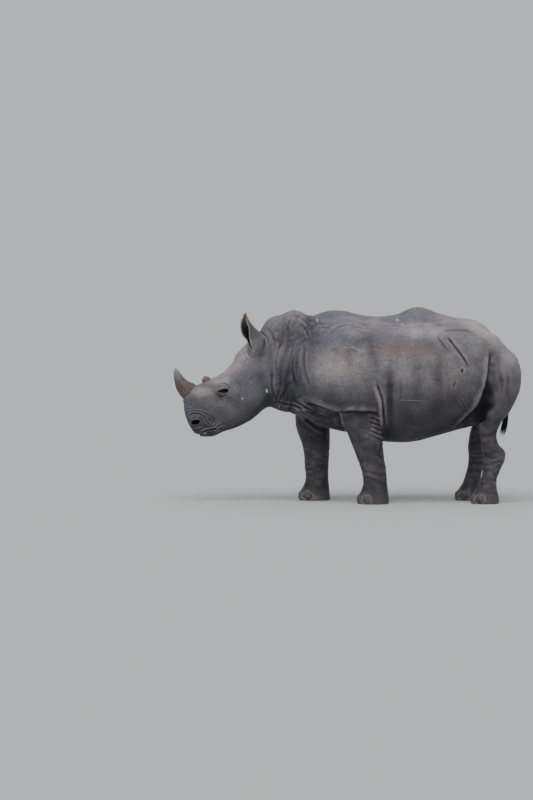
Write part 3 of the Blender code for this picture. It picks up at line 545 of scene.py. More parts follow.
EAR_LENGTH = 0.312
EAR_ROOT = (-0.716, 0.128, 1.228)
EAR_TILT_FORE, EAR_TILT_OUT = math.radians(20.0), math.radians(15.0)
EAR_OPENING_OUT = math.radians(45.0)  # how far the opening is turned from straight ahead
EAR_DEPTH = 1.15  # the cup is this much deeper than it is wide
EAR_WALL = 0.010  # at the root
EAR_SEAM = 0.012  # how far the join with the head is rubbed smooth
EAR_ROWS = [  # share of the length, radius, lean to the opening, half the angle of the sheet in radians, wall
    (-0.16, 0.040, 0.002, 3.05, 0.010),
    (0.00, 0.047, 0.000, 3.05, 0.010),
    (0.13, 0.056, -0.006, 3.04, 0.009),
    (0.26, 0.059, -0.008, 3.02, 0.008),
    (0.41, 0.052, -0.003, 2.88, 0.007),
    (0.56, 0.049, 0.022, 2.42, 0.006),
    (0.73, 0.043, 0.040, 1.88, 0.0055),
    (0.85, 0.033, 0.038, 1.78, 0.005),
    (0.94, 0.022, 0.025, 1.74, 0.0045),
    (1.00, 0.007, 0.008, 1.70, 0.004),
]


def ear_frame(side):
    """An ear's root, the way it stands and the way its cup opens."""
    up = Vector((-math.tan(EAR_TILT_FORE), side * math.tan(EAR_TILT_OUT), 1.0)).normalized()
    opening = Vector((-math.cos(EAR_OPENING_OUT), side * math.sin(EAR_OPENING_OUT), 0.0))
    opening = (opening - up * opening.dot(up)).normalized()
    return np.array((EAR_ROOT[0], side * EAR_ROOT[1], EAR_ROOT[2])), np.array(up), np.array(opening)


def ear_spots(side, turn, share, inward=0.0):
    """Places on an ear's sheet: turn from -1 to 1 round the cup, share of the length, distance inwards."""
    root, up, opening = ear_frame(side)
    across = np.cross(up, opening)
    rows = smooth_line(EAR_ROWS, 0.02)
    radius, lean, half_angle = (np.interp(share, rows[:, 0], rows[:, k]) for k in (1, 2, 3))
    angle = half_angle * turn
    rim = np.clip((np.abs(turn) - 0.80) / 0.20, 0, 1) * ramp(share, 0.10, 0.35)
    radius = radius * (1 + 0.16 * rim**2) - inward
    spot = np.outer(np.sin(angle), across) - np.outer(np.cos(angle) * EAR_DEPTH, opening)
    return root + np.outer(share * EAR_LENGTH, up) + np.outer(lean, opening) + spot * radius[:, None]


ears = []
for side in (LEFT, RIGHT):
    bpy.ops.object.select_all(action="DESELECT")
    bpy.ops.mesh.primitive_grid_add(x_subdivisions=32, y_subdivisions=56, size=2)
    ear = bpy.context.active_object
    ear.name = "ear_form"
    flat = places(ear.data)
    first, last = EAR_ROWS[0][0], EAR_ROWS[-1][0]
    share = first + (last - first) * (flat[:, 1] + 1) / 2
    put_back(ear.data, ear_spots(side, flat[:, 0], share))
    walls = np.interp(share, [row[0] for row in EAR_ROWS], [row[4] for row in EAR_ROWS])
    walls *= 1 - 0.35 * np.abs(flat[:, 0]) ** 4
    group = ear.vertex_groups.new(name="wall")
    for i, wall in enumerate(walls):
        group.add([i], wall / EAR_WALL, "REPLACE")
    bpy.ops.object.mode_set(mode="EDIT")
    bpy.ops.mesh.select_all(action="SELECT")
    if side == RIGHT:
        bpy.ops.mesh.flip_normals()
    bpy.ops.object.mode_set(mode="OBJECT")
    shell = ear.modifiers.new("wall", "SOLIDIFY")
    shell.thickness = EAR_WALL
    shell.offset = 0.0
    shell.vertex_group = group.name
    round_off = ear.modifiers.new("round", "SUBSURF")
    round_off.levels = round_off.render_levels = 1
    for modifier in (shell.name, round_off.name):
        bpy.ops.object.modifier_apply(modifier=modifier)
    ear.vertex_groups.clear()
    ears.append(ear)


def carve(cutter, operation):
    """Adds a closed form to the hide or takes it away, and deletes the form."""
    pick(hide)
    cut = hide.modifiers.new("cut", "BOOLEAN")
    cut.object = cutter
    cut.operation = operation
    cut.solver = "MANIFOLD"
    bpy.ops.object.modifier_apply(modifier=cut.name)
    bpy.data.objects.remove(cutter)


for ear in ears:
    on_ear, on_hide = surface_of(ear), surface_of(hide)
    carve(ear, "UNION")
    read_skin()
    x, y, z = spots.T
    shares = np.zeros(len(spots))
    for i in np.flatnonzero((x > -0.87) & (x < -0.60) & (z > 1.12) & (z < 1.36)):
        spot = Vector(spots[i])
        to_hide, to_ear = on_hide.find_nearest(spot)[3], on_ear.find_nearest(spot)[3]
        shares[i] = math.exp(-((to_hide / EAR_SEAM) ** 2) - (to_ear / EAR_SEAM) ** 2)
    soften(hide, 12, shares)
read_skin()

# ---------------------------------------------------------------- eyelids and nostrils, in the hide
# Heavy lids roll round the ball of the eye, and the nostril is a deep slanted hole with a thick rim.
# The hide is drawn over a ball's form, creased, and then cut open along the lids' edge.

EYE = (-1.0015, 0.124, 0.908)
EYE_BALL = (0.034, 0.027, 0.029)  # half its seen length, depth and height
LID_OPENING = [  # the lids' edge in side view, from the front corner over the top and back below
    (-1.0440, 0.8985), (-1.0270, 0.9110), (-1.0050, 0.9215), (-0.9820, 0.9250), (-0.9640, 0.9175),
    (-0.9570, 0.9085), (-0.9650, 0.8985), (-0.9820, 0.8905), (-1.0030, 0.8905), (-1.0260, 0.8935),
]
NOSTRIL_TILT, NOSTRIL_SWEEP = math.radians(18), math.radians(24)  # up to the back, and back as it goes in

divide_faces(lambda x, y, z: (np.abs(y) > 0.08)
             & (((x - EYE[0]) / 0.070) ** 2 + ((z - EYE[2]) / 0.075) ** 2 < 1))
read_skin()
x, y, z = spots.T
over_ball = 1 - ((x - EYE[0]) / 0.058) ** 2 - ((z - EYE[2]) / 0.048) ** 2
beside_eye = np.flatnonzero((over_ball > 0) & (np.abs(y) > 0.10) & (np.abs(y) < 0.19))
lid = EYE[1] - 0.002 + 0.034 * np.sqrt(over_ball[beside_eye])
now = np.abs(y[beside_eye])
blend = 0.5 + 0.5 * np.clip((lid - now) / 0.006, -1, 1)  # the lid's form takes over where it stands higher
higher = now + (lid - now) * blend + 0.003 * blend * (1 - blend)
spots[beside_eye, 1] = np.sign(y[beside_eye]) * higher
settle_skin(2)
skin = surface_of(hide)
fold([(-1.0600, 0.9150), (-1.0530, 0.9400), (-1.0290, 0.9610), (-0.9960, 0.9670), (-0.9640, 0.9500),
      (-0.9380, 0.9230)],
     0.0050, 0.0050, above=0.0035, below=0.0010, reach=0.018, ends=0.2)
fold([(-1.0560, 0.8950), (-1.0470, 0.8760), (-1.0100, 0.8470), (-0.9800, 0.8430), (-0.9400, 0.8500)],
     0.0045, 0.0045, above=0.0030, below=0.0015, reach=0.016, ends=0.25)
fold([(-1.0420, 0.8890), (-1.0210, 0.8740), (-0.9960, 0.8650), (-0.9650, 0.8700), (-0.9450, 0.8850)],
     0.0030, 0.0035, above=0.0020, below=0.0010, reach=0.012, ends=0.25)
fold([(-1.0480, 0.9080), (-1.0350, 0.9270), (-1.0080, 0.9400), (-0.9780, 0.9400), (-0.9520, 0.9250)],
     0.0022, 0.0035, above=0.0010, below=0.0015, reach=0.012, ends=0.25)
fold([(-1.0650, 0.8900), (-1.0560, 0.8650), (-1.0200, 0.8330), (-0.9750, 0.8270)],
     0.0035, 0.0060, above=0.0025, reach=0.018, ends=0.35)
settle_skin(0)

lid_edge = smooth_line(LID_OPENING + LID_OPENING[:1], 0.003)
for side in (LEFT, RIGHT):
    bpy.ops.object.select_all(action="DESELECT")
    bpy.ops.mesh.primitive_circle_add(vertices=len(lid_edge) - 1, radius=0.03, fill_type="NGON")
    opening = bpy.context.active_object
    outline = np.insert(lid_edge[:-1], 1, side * 0.118, axis=1)
    put_back(opening.data, outline)
    bpy.ops.object.mode_set(mode="EDIT")
    bpy.ops.mesh.select_all(action="SELECT")
    bpy.ops.mesh.extrude_region_move(TRANSFORM_OT_translate={"value": (0, side * 0.08, 0)})
    bpy.ops.mesh.select_all(action="SELECT")
    bpy.ops.mesh.normals_make_consistent(inside=False)
    bpy.ops.object.mode_set(mode="OBJECT")
    carve(opening, "DIFFERENCE")
    bpy.ops.object.select_all(action="DESELECT")
    bpy.ops.mesh.primitive_uv_sphere_add(segments=48, ring_count=24, radius=1, location=(0, 0, 0))
    hole = bpy.context.active_object
    x, y, z = (places(hole.data) * (0.040, 0.052, 0.0225)).T
    x -= side * y * math.tan(NOSTRIL_SWEEP)
    along = x * math.cos(NOSTRIL_TILT) - z * math.sin(NOSTRIL_TILT)
    up = x * math.sin(NOSTRIL_TILT) + z * math.cos(NOSTRIL_TILT)
    put_back(hole.data, np.stack([along, y, up], axis=1) + (NOSTRIL[0], side * 0.122, NOSTRIL[2]))
    carve(hole, "DIFFERENCE")
read_skin()
x, y, z = spots.T
from_edge = np.min(np.hypot(x[:, None] - lid_edge[:, 0], z[:, None] - lid_edge[:, 1]), axis=1)
at_rim = np.exp(-((from_edge / 0.004) ** 2)) * (np.abs(y) > 0.12)
from_nostril = ((x - NOSTRIL[0]) / 0.060) ** 2 + ((z - NOSTRIL[2]) / 0.040) ** 2
at_rim = np.maximum(at_rim, np.exp(-(from_nostril**3)) * (np.abs(y) > 0.05))
soften(hide, 4, at_rim)
read_skin()

# ---------------------------------------------------------------- the hide: last touches and finish
# Bare grey hide cracked into small plates: pale with dust and painted highlight on the back and ridges,
# darker low down as damp hide and painted shade, with painted shade in folds and creases.
# Its mesh is thinned where it is plain, and its tones are brushed on as shares that the material mixes.

HIDE_TRIANGLES = 192000  # the hide is thinned to about this many triangles; a single piece is kept under 200,000


def sunk(passes, full):
    """How far each vertex lies under the smoothed form, from 0 to 1 at the full depth, below 0 on ridges."""
    put_back(hide.data, spots)
    soften(hide, passes)
    depth = np.einsum("ij,ij->i", places(hide.data) - spots, normals)
    put_back(hide.data, spots)
    return np.clip(depth / full, -1.0, 1.0)


def keep_values(piece, name, values):
    """Keeps a number, or a row of three, for each vertex of a piece, for its material."""
    kind, word = ("FLOAT", "value") if values.ndim == 1 else ("FLOAT_VECTOR", "vector")
    layer = piece.data.attributes.new(name, kind, "POINT")
    layer.data.foreach_set(word, values.astype(np.float32).ravel())


def brush(name, values):
    """Keeps a share from 0 to 1 for each vertex of the hide."""
    keep_values(hide, name, np.clip(values, 0.0, 1.0))


pick(hide)
read_skin()
# Painted shade in creases and broad valleys, and pale dust with painted highlight on the ridges between them.
creases, valleys = sunk(8, 0.0016), sunk(70, 0.009)
brush("hollow", 0.75 * np.maximum(creases, 0) + 0.80 * np.maximum(valleys, 0))
at_lids = patch((EYE[0], 0.13, EYE[2]), (0.032, 0.2, 0.020), edge=2)
# ridges paler with dust and painted highlight, less so on the eyelids
brush("ridge_dust_and_highlight", (0.6 * np.maximum(-creases, 0) + 0.5 * np.maximum(-valleys, 0)) * (1 - 0.8 * at_lids))

on_face = ramp(-spots[:, 0], 0.78, 0.92) * (spots[:, 2] < 1.20)
at_eye = patch((EYE[0], 0.13, EYE[2]), (0.06, 0.2, 0.06), edge=2)
on_ears = patch((-0.760, 0.16, 1.40), (0.13, 0.10, 0.16), edge=3)
keep = hide.vertex_groups.new(name="keep")
fineness = 1 - np.maximum.reduce([0.35 * on_face, 0.6 * at_eye, 0.35 * on_ears])
for step in np.linspace(0.0, 1.0, 11):
    near = np.flatnonzero(np.abs(fineness - step) <= 0.05)
    keep.add(near.tolist(), float(step), "REPLACE")
count = sum(len(face.vertices) - 2 for face in hide.data.polygons)
thin = hide.modifiers.new("fewer_faces", "DECIMATE")
thin.ratio = HIDE_TRIANGLES / count
thin.vertex_group = keep.name
thin.vertex_group_factor = 0.25
bpy.ops.object.modifier_apply(modifier=thin.name)
hide.vertex_groups.clear()
read_skin()
spots[:, 2] = np.maximum(spots[:, 2], 0.0)
put_back(hide.data, spots)


def area(*patches, rough=0.35, size=0.11, seed=40):
    """The share of several soft patches together, with a ragged edge."""
    parts = [strength * patch(centre, radii, **rest) for strength, centre, radii, rest in patches]
    total = np.maximum.reduce(parts)
    ragged = 1 + rough * grain(spots, size, seed) + 0.5 * rough * grain(spots, size / 3, seed + 1)
    return np.clip(total * ragged, 0, 1)


def along_line(points, width, amount, leg=None):
    """The share of a soft line laid on the hide."""
    total = np.zeros(len(spots))
    for side in (LEFT, RIGHT):
        line, facing = laid(points, side, leg)
        near, share, off, _ = beside(line, facing, side, 3 * width)
        fade = ramp(share, 0, 0.12) * ramp(share, 1, 0.88)
        total[near] = np.maximum(total[near], amount * fade * np.exp(-((off / width) ** 2)))
    return total * (0.8 + 0.4 * grain(spots, 0.05, 47))


skin = surface_of(hide)
x, y, z = spots.T
# Pale dust on the back, croup, shoulder and brow, with painted highlight along the raised lines, over the
# ribs and on the upper lid's bulge.
raised_line_dust_and_highlight = np.maximum.reduce([along_line(points, 0.007, 0.75) for points in RAISED_LINES])
brush("dust_and_highlight", np.maximum(raised_line_dust_and_highlight, area(
    (1.00, (1.11, 0.10, 1.385), (0.18, 0.30, 0.080), dict(turn=-38)),  # croup and rump
    (0.80, (0.90, 0.15, 1.450), (0.19, 0.30, 0.060), dict(turn=-12)),
    (0.45, (1.30, 0.20, 1.160), (0.08, 0.30, 0.160), {}),
    (0.78, (0.62, 0.15, 1.385), (0.42, 0.30, 0.065), {}),  # back
    (0.35, (0.16, 0.15, 1.450), (0.25, 0.30, 0.080), {}),
    (0.92, (-0.110, 0.30, 1.080), (0.16, 0.30, 0.135), {}),  # shoulder
    (0.62, (0.085, 0.30, 1.130), (0.10, 0.30, 0.110), {}),
    # painted highlight over the ribs
    (0.50, (0.47, 0.40, 1.060), (0.07, 0.30, 0.130), {}),  # ribs
    (0.40, (0.64, 0.40, 1.060), (0.08, 0.30, 0.130), {}),
    (0.22, (0.84, 0.40, 0.980), (0.09, 0.30, 0.110), {}),
    (0.22, (0.55, 0.40, 1.180), (0.40, 0.30, 0.050), {}),
    (0.32, (-0.40, 0.15, 1.500), (0.12, 0.30, 0.050), {}),  # hump
    (0.58, (-0.860, 0.05, 1.215), (0.095, 0.22, 0.085), {}),  # forehead, brow and bridge
    (0.60, (-0.950, 0.05, 1.105), (0.110, 0.20, 0.080), {}),
    (0.50, (-1.030, 0.05, 1.000), (0.100, 0.20, 0.050), {}),
    (0.50, (-1.150, 0.00, 0.895), (0.100, 0.20, 0.035), {}),
    (0.35, (-0.560, 0.20, 1.230), (0.070, 0.30, 0.090), {}),
    (0.30, (-0.770, 0.18, 1.240), (0.050, 0.20, 0.080), {}),
    (0.20, (-0.840, 0.15, 0.900), (0.100, 0.20, 0.065), {}),
    # painted highlight on the bulge of the upper lid
    (0.45, (-1.000, 0.15, 0.945), (0.040, 0.10, 0.020), {}),
    (0.35, (-1.080, 0.15, 0.820), (0.070, 0.10, 0.060), {}),
)))
# Darker towards the bottom: partly damp, muddy hide and partly painted shade under the body.
on_body = np.interp(z, [0.48, 0.62, 0.80, 0.96, 1.16], [0.96, 0.92, 0.78, 0.38, 0.0])
on_head = np.interp(z, [0.50, 0.62, 0.80, 1.00], [0.80, 0.62, 0.36, 0.0])
low = np.where(x > -0.68, on_body, on_head)
brush("dark_hide_and_shade", np.maximum.reduce([
    low * (1 + 0.25 * grain(spots, 0.10, 46)),
    # painted shade on the surfaces that face down
    0.85 * ramp(-normals[:, 2], 0.2, 0.8) * ramp(1.1 - z, 0, 0.2),
    area(
        (0.88, (-0.46, 0.25, 0.990), (0.13, 0.40, 0.21), dict(turn=-8)),  # neck
        (0.55, (-0.50, 0.20, 1.330), (0.12, 0.40, 0.10), {}),
        (0.62, (-0.36, 0.20, 1.370), (0.14, 0.40, 0.15), {}),
        (0.30, (-0.60, 0.20, 1.120), (0.06, 0.40, 0.14), {}),
        (0.92, (-0.52, 0.20, 0.830), (0.22, 0.40, 0.110), {}),
        (0.90, (-0.24, 0.20, 0.700), (0.22, 0.40, 0.085), dict(turn=-20)),  # breast
        (0.70, (-0.16, 0.35, 0.820), (0.24, 0.40, 0.040), dict(turn=-8)),
        (0.95, (0.06, 0.35, 0.690), (0.14, 0.40, 0.050), dict(leg="fore")),
        # painted shade in the hollow before the thigh
        (1.00, (1.17, 0.25, 0.700), (0.12, 0.40, 0.200), dict(turn=8)),  # thigh
        (1.00, (1.06, 0.25, 0.720), (0.07, 0.40, 0.200), dict(turn=-30)),
        (0.85, (1.30, 0.20, 0.840), (0.07, 0.40, 0.130), {}),
        (0.80, (1.24, 0.20, 0.960), (0.12, 0.40, 0.130), {}),
        (0.95, (0.290, 0.40, 0.800), (0.045, 0.40, 0.120), {}),
        (0.35, (0.235, 0.40, 1.090), (0.040, 0.40, 0.100), {}),
        (0.40, (0.850, 0.40, 1.200), (0.050, 0.40, 0.090), dict(turn=30)),
        # painted shade in the grooves between the ribs
        (0.80, (0.335, 0.40, 0.960), (0.034, 0.40, 0.190), {}),  # bands on the ribs
        (0.60, (0.265, 0.40, 1.000), (0.022, 0.40, 0.150), {}),
        (0.45, (0.560, 0.40, 1.000), (0.020, 0.40, 0.170), {}),
        (0.52, (0.725, 0.40, 1.000), (0.022, 0.40, 0.160), {}),
        (0.40, (0.180, 0.40, 1.240), (0.045, 0.40, 0.120), dict(turn=20)),
        (0.40, (0.010, 0.40, 1.150), (0.020, 0.40, 0.100), {}),
        (0.45, (0.15, 0.30, 1.310), (0.12, 0.40, 0.045), {}),
        (0.42, (-0.72, 0.15, 1.030), (0.10, 0.30, 0.060), {}),  # cheek, jaw and muzzle
        (0.30, (-0.81, 0.15, 0.930), (0.11, 0.30, 0.075), {}),
        (0.45, (-0.86, 0.15, 0.720), (0.14, 0.30, 0.060), dict(turn=25)),
        (1.00, (-1.12, 0.10, 0.585), (0.19, 0.30, 0.060), dict(turn=-8)),
        (0.86, (-1.21, 0.10, 0.655), (0.11, 0.30, 0.085), {}),
        (0.60, (-0.96, 0.15, 0.640), (0.14, 0.30, 0.050), dict(turn=18)),
        (0.80, (-1.10, 0.10, 0.660), (0.05, 0.30, 0.060), {}),
        (0.50, (-1.04, 0.15, 0.740), (0.07, 0.30, 0.050), {}),
        (0.40, (-1.27, 0.10, 0.780), (0.05, 0.30, 0.050), {}),
        (0.50, (-0.755, 0.18, 1.400), (0.09, 0.20, 0.10), {}),  # ears
        # painted shadow under the roots of the ears
        (0.70, (-0.779, 0.15, 1.270), (0.018, 0.20, 0.045), {}),
        (0.70, (-0.668, 0.15, 1.290), (0.018, 0.20, 0.045), {}),
        (0.30, (0.47, 0.40, 0.900), (0.45, 0.30, 0.070), {}),
        (0.40, (-0.690, 0.15, 1.210), (0.04, 0.20, 0.05), {}),
        rough=0.30, seed=44,
    ),
    # painted shade inside the nostril and along the flank, skirt, elbow and hip folds
    0.97 * patch((NOSTRIL[0], 0.10, NOSTRIL[2]), (0.044, 0.06, 0.026), turn=18, edge=2.5),
    along_line(FLANK_FOLD, 0.030, 1.0),
    along_line(SKIRT_FOLD, 0.012, 0.95, "fore"),
    along_line(ELBOW_FOLD, 0.016, 1.0, "fore"),
    along_line(HIP_FOLD, 0.010, 0.9),
]))
brush("rust", area(
    (0.95, (0.46, 0.30, 1.235), (0.22, 0.30, 0.045), dict(turn=-4)),
    (0.75, (0.28, 0.30, 1.265), (0.09, 0.30, 0.035), {}),
    (0.60, (1.10, 0.15, 1.390), (0.15, 0.30, 0.060), dict(turn=-38)),
    (0.60, (-0.10, 0.30, 1.130), (0.13, 0.30, 0.080), {}),
    (0.55, (0.040, 0.30, 1.100), (0.03, 0.30, 0.120), {}),
    (0.35, (-0.95, 0.05, 1.080), (0.10, 0.20, 0.060), {}),
    (0.50, (-1.125, 0.00, 0.915), (0.05, 0.10, 0.030), {}),
    (0.55, (1.33, 0.10, 0.950), (0.05, 0.10, 0.150), {}),
    (0.30, (0.80, 0.40, 1.000), (0.12, 0.30, 0.150), {}),
    rough=0.8, size=0.06, seed=48,
))
# A cool bluish tint on neck and muzzle, and painted sky reflection along the back and on the upper lid's
# bulge.
brush("cool_and_sky_sheen", area(
    (0.90, (-0.37, 0.25, 1.020), (0.08, 0.40, 0.18), dict(turn=-8)),
    (0.60, (-0.28, 0.20, 1.260), (0.18, 0.40, 0.12), {}),
    (0.60, (-0.50, 0.20, 0.960), (0.16, 0.40, 0.22), {}),
    (0.80, (-1.265, 0.10, 0.700), (0.09, 0.30, 0.110), {}),
    (0.80, (-1.180, 0.10, 0.590), (0.12, 0.30, 0.050), {}),
    (0.75, (0.55, 0.20, 1.410), (0.55, 0.40, 0.130), {}),
    (0.75, (-0.12, 0.20, 1.400), (0.32, 0.40, 0.150), {}),
    (0.45, (-0.80, 0.20, 0.980), (0.20, 0.40, 0.160), {}),
    # painted sky reflection on the bulge of the upper lid
    (0.80, (-1.00, 0.15, 0.945), (0.04, 0.10, 0.024), {}),
    (0.50, (-0.70, 0.18, 1.270), (0.07, 0.20, 0.070), {}),
    rough=0.4, seed=52,
))
brush("upright", area(
    (1.0, (-0.45, 0.30, 1.150), (0.22, 0.40, 0.36), {}),
    (0.9, (0.55, 0.30, 1.000), (0.45, 0.40, 0.22), {}),
    rough=0.2, seed=56,
))
brush("netted", area(
    (1.0, (-0.42, 0.20, 1.300), (0.22, 0.40, 0.22), {}),
    (0.8, (-0.48, 0.30, 1.000), (0.14, 0.40, 0.24), {}),
    (0.7, (1.25, 0.30, 1.050), (0.16, 0.40, 0.30), {}),
    rough=0.3, seed=58,
))
# Painted shade inside the cups of the ears, a pale rim and a tawny tip.
ear_cup_shade, rims, tips = np.zeros(len(spots)), [], []
for side in (LEFT, RIGHT):
    root, up, _ = ear_frame(side)
    from_middle = spots - root - np.outer((spots - root) @ up, up)
    facing_in = np.clip(-np.einsum("ij,ij->i", normals, from_middle) / 0.03, 0, 1)
    ear_cup_shade += facing_in * patch((-0.785, 0.16, 1.42), (0.10, 0.10, 0.12), sides=(side,), edge=3)
    rims += [ear_spots(side, np.full(40, edge), np.linspace(0.10, 1.0, 40)) for edge in (-0.98, 0.98)]
    tips.append(ear_spots(side, np.zeros(1), np.array([0.97]))[0])
brush("ear_cup_shade", ear_cup_shade)
rims = np.vstack(rims)
by_ear = np.flatnonzero(patch((-0.785, 0.16, 1.40), (0.16, 0.14, 0.20), edge=3) > 0.3)
from_rim = np.full(len(spots), 1.0)
from_rim[by_ear] = np.min(np.linalg.norm(spots[by_ear, None] - rims[None], axis=2), axis=1)
brush("ear_rim", np.exp(-((from_rim / 0.008) ** 2)))
brush("ear_tip", sum(np.exp(-np.sum(((spots - tip) / 0.034) ** 2, axis=1)) for tip in tips))


def colour(code):
    """An sRGB hex colour as linear values."""
    parts = [int(code[i : i + 2], 16) / 255 for i in (1, 3, 5)]
    return (*[c / 12.92 if c <= 0.04045 else ((c + 0.055) / 1.055) ** 2.4 for c in parts], 1.0)


def start_material(name):
    """A new material, its node tree and its shader."""
    made = bpy.data.materials.new(name)
    made.use_nodes = True
    return made, made.node_tree, made.node_tree.nodes["Principled BSDF"]


def node(tree, kind, inputs=(), **settings):
    """Adds one node with its settings, and gives its inputs values or links, by name or number."""
    made = tree.nodes.new("ShaderNode" + kind)
    for setting, value in settings.items():
        setattr(made, setting, value)
    for socket, value in dict(inputs).items():
        if isinstance(value, bpy.types.NodeSocket):
            tree.links.new(value, made.inputs[socket])
        else:
            made.inputs[socket].default_value = value
    return made


# Hide: dull keratin plates with dust in the grain, so it scatters light and shines only where it is damp.
HIDE_TONES = ("#5b5a5e", "#7e7c80")  # plain hide, mottled between these
# The pale colour stands for dust and painted highlight, the darkest for damp hide, cracks and painted shade,
# the bluish one for a cool tint and painted sky reflection.
PALE_DUST_AND_HIGHLIGHT, DARK_HIDE_AND_SHADE, RUST, COOL_TINT_AND_SKY_SHEEN = "#b8aeb1", "#1b1a22", "#84685f", "#595c6d"
SCAR, RAW, CHALK = "#9a9290", "#1c1614", "#d8d6d0"
PLATE, CRAZE = 0.009, 0.042  # metres across
hide_finish, tree, shader = start_material("cracked_hide")
at = node(tree, "TexCoord").outputs["Object"]
wander = node(tree, "TexNoise", {"Vector": at, "Scale": 16.0, "Detail": 3.0})
wander = node(tree, "VectorMath", {0: wander.outputs["Color"], 1: (0.5, 0.5, 0.5)}, operation="SUBTRACT")
wander = node(tree, "VectorMath", {0: wander.outputs[0], "Scale": 0.030}, operation="SCALE")
bent = node(tree, "VectorMath", {0: at, 1: wander.outputs[0]}, operation="ADD").outputs[0]


def cells(across, groove):
    """Plates of hide this far across, as an amount that is 0 along the grooves between them."""
    edge = node(tree, "TexVoronoi", {"Vector": bent, "Scale": 1 / across}, feature="DISTANCE_TO_EDGE")
    drawn = {"Value": edge.outputs["Distance"], "From Max": groove}
    return node(tree, "MapRange", drawn, interpolation_type="SMOOTHSTEP").outputs[0]


plates, craze = cells(PLATE, 0.16), cells(CRAZE, 0.10)
mottle = node(tree, "TexNoise", {"Vector": at, "Scale": 7.0, "Detail": 6.0, "Roughness": 0.62}).outputs["Fac"]
mottle = node(tree, "MapRange", {"Value": mottle, "From Min": 0.34, "From Max": 0.66}).outputs[0]
speck = node(tree, "TexNoise", {"Vector": at, "Scale": 90.0, "Detail": 3.0, "Roughness": 0.6}).outputs["Fac"]
drip = node(tree, "Mapping", {"Vector": bent, "Scale": (30.0, 30.0, 3.5)}).outputs[0]
drip = node(tree, "TexNoise", {"Vector": drip, "Scale": 1.0, "Detail": 4.0}).outputs["Fac"]
drip = node(tree, "MapRange", {"Value": drip, "From Min": 0.42, "From Max": 0.62}).outputs[0]
BRUSHED = ("hollow", "ridge_dust_and_highlight", "dust_and_highlight", "dark_hide_and_shade", "rust", "cool_and_sky_sheen", "upright", "netted", "ear_cup_shade", "ear_rim",
           "ear_tip")
share = {name: node(tree, "Attribute", attribute_name=name).outputs["Fac"] for name in BRUSHED}


def times(first, second):
    """The product of two amounts."""
    return node(tree, "Math", {0: first, 1: second}, operation="MULTIPLY").outputs[0]


def less(amount):
    """What an amount leaves of 1."""
    return node(tree, "Math", {0: 1.0, 1: amount}, operation="SUBTRACT").outputs[0]


def tone(under, over, amount):
    """Lays one colour over another by an amount."""
    under, over = (colour(c) if isinstance(c, str) else c for c in (under, over))
    return node(tree, "Mix", {0: amount, 6: under, 7: over}, data_type="RGBA").outputs[2]


def mark(place, size, turn=0.0, soft=0.5):
    """A small oval mark on the hide, as an amount: its place and half sizes, turned in side view."""
    there = node(tree, "Mapping", {
        "Vector": at, "Location": place, "Rotation": (0, math.radians(turn), 0), "Scale": size,
    }, vector_type="TEXTURE")
    far = node(tree, "VectorMath", {0: there.outputs[0]}, operation="LENGTH").outputs["Value"]
    far = node(tree, "Math", {0: speck, 1: 1.6, 2: far}, operation="MULTIPLY_ADD").outputs[0]
    far = node(tree, "Math", {0: far, 1: 0.8}, operation="SUBTRACT").outputs[0]
    return node(tree, "MapRange", {"Value": far, "From Min": 1.0, "From Max": 1.0 - soft}).outputs[0]


def thin_lines(turn, spacing, long, width):
    """Thin wandering lines, at a turn from the level in side view, as an amount."""
    laid_out = {"Vector": bent, "Rotation": (0, math.radians(turn), 0)}
    laid_out["Scale"] = (spacing * long, spacing * long, spacing)
    there = node(tree, "Mapping", laid_out, vector_type="TEXTURE")
    value = node(tree, "TexNoise", {"Vector": there.outputs[0], "Scale": 1.0, "Detail": 2.0}).outputs["Fac"]
    off = node(tree, "Math", {0: value, 1: 0.5}, operation="SUBTRACT").outputs[0]
    off = node(tree, "Math", {0: off}, operation="ABSOLUTE").outputs[0]
    drawn = {"Value": off, "From Min": width, "From Max": 0.0}
    return node(tree, "MapRange", drawn, interpolation_type="SMOOTHSTEP").outputs[0]


def more(first, second):
    """The greater of two amounts."""
    return node(tree, "Math", {0: first, 1: second}, operation="MAXIMUM").outputs[0]


LEVEL_LINES, CROSSED_LINES = 0.030, 0.034  # metres apart, as on the living animal's back and neck
level = times(thin_lines(2, LEVEL_LINES, 5.0, 0.050), less(share["netted"]))
crossed = more(thin_lines(52, CROSSED_LINES, 3.5, 0.055), thin_lines(-58, CROSSED_LINES, 3.5, 0.055))
lined = more(level, times(crossed, share["netted"]))
lined = times(lined, node(tree, "MapRange", {"Value": mottle, "To Min": 0.35, "To Max": 1.0}).outputs[0])
behind_head = node(tree, "SeparateXYZ", {"Vector": at}).outputs["X"]
behind_head = {"Value": behind_head, "From Min": -0.80, "From Max": -0.60, "To Min": 0.25, "To Max": 1.0}
lined = times(lined, node(tree, "MapRange", behind_head).outputs[0])
patchy = node(tree, "MapRange", {"Value": mottle, "To Min": 0.45, "To Max": 1.0}).outputs[0]
hue = tone(*HIDE_TONES, mottle)
# Laid over the plain hide: a cool tint with painted sky reflection, rust, dust with painted highlight, darker
# low hide with painted shade, and painted shade in creases, folds and the ear cups.
hue = tone(hue, COOL_TINT_AND_SKY_SHEEN, times(share["cool_and_sky_sheen"], 0.8))
hue = tone(hue, RUST, times(share["rust"], patchy))
hue = tone(hue, PALE_DUST_AND_HIGHLIGHT, times(share["dust_and_highlight"], patchy))
hue = tone(hue, DARK_HIDE_AND_SHADE, times(share["dark_hide_and_shade"], 0.90))
hue = tone(hue, PALE_DUST_AND_HIGHLIGHT, times(share["ridge_dust_and_highlight"], 0.50))
hue = tone(hue, DARK_HIDE_AND_SHADE, times(share["hollow"], 0.85))
hue = tone(hue, DARK_HIDE_AND_SHADE, times(less(plates), 0.16))
hue = tone(hue, DARK_HIDE_AND_SHADE, times(times(less(craze), mottle), 0.20))
hue = tone(hue, DARK_HIDE_AND_SHADE, times(lined, 0.16))
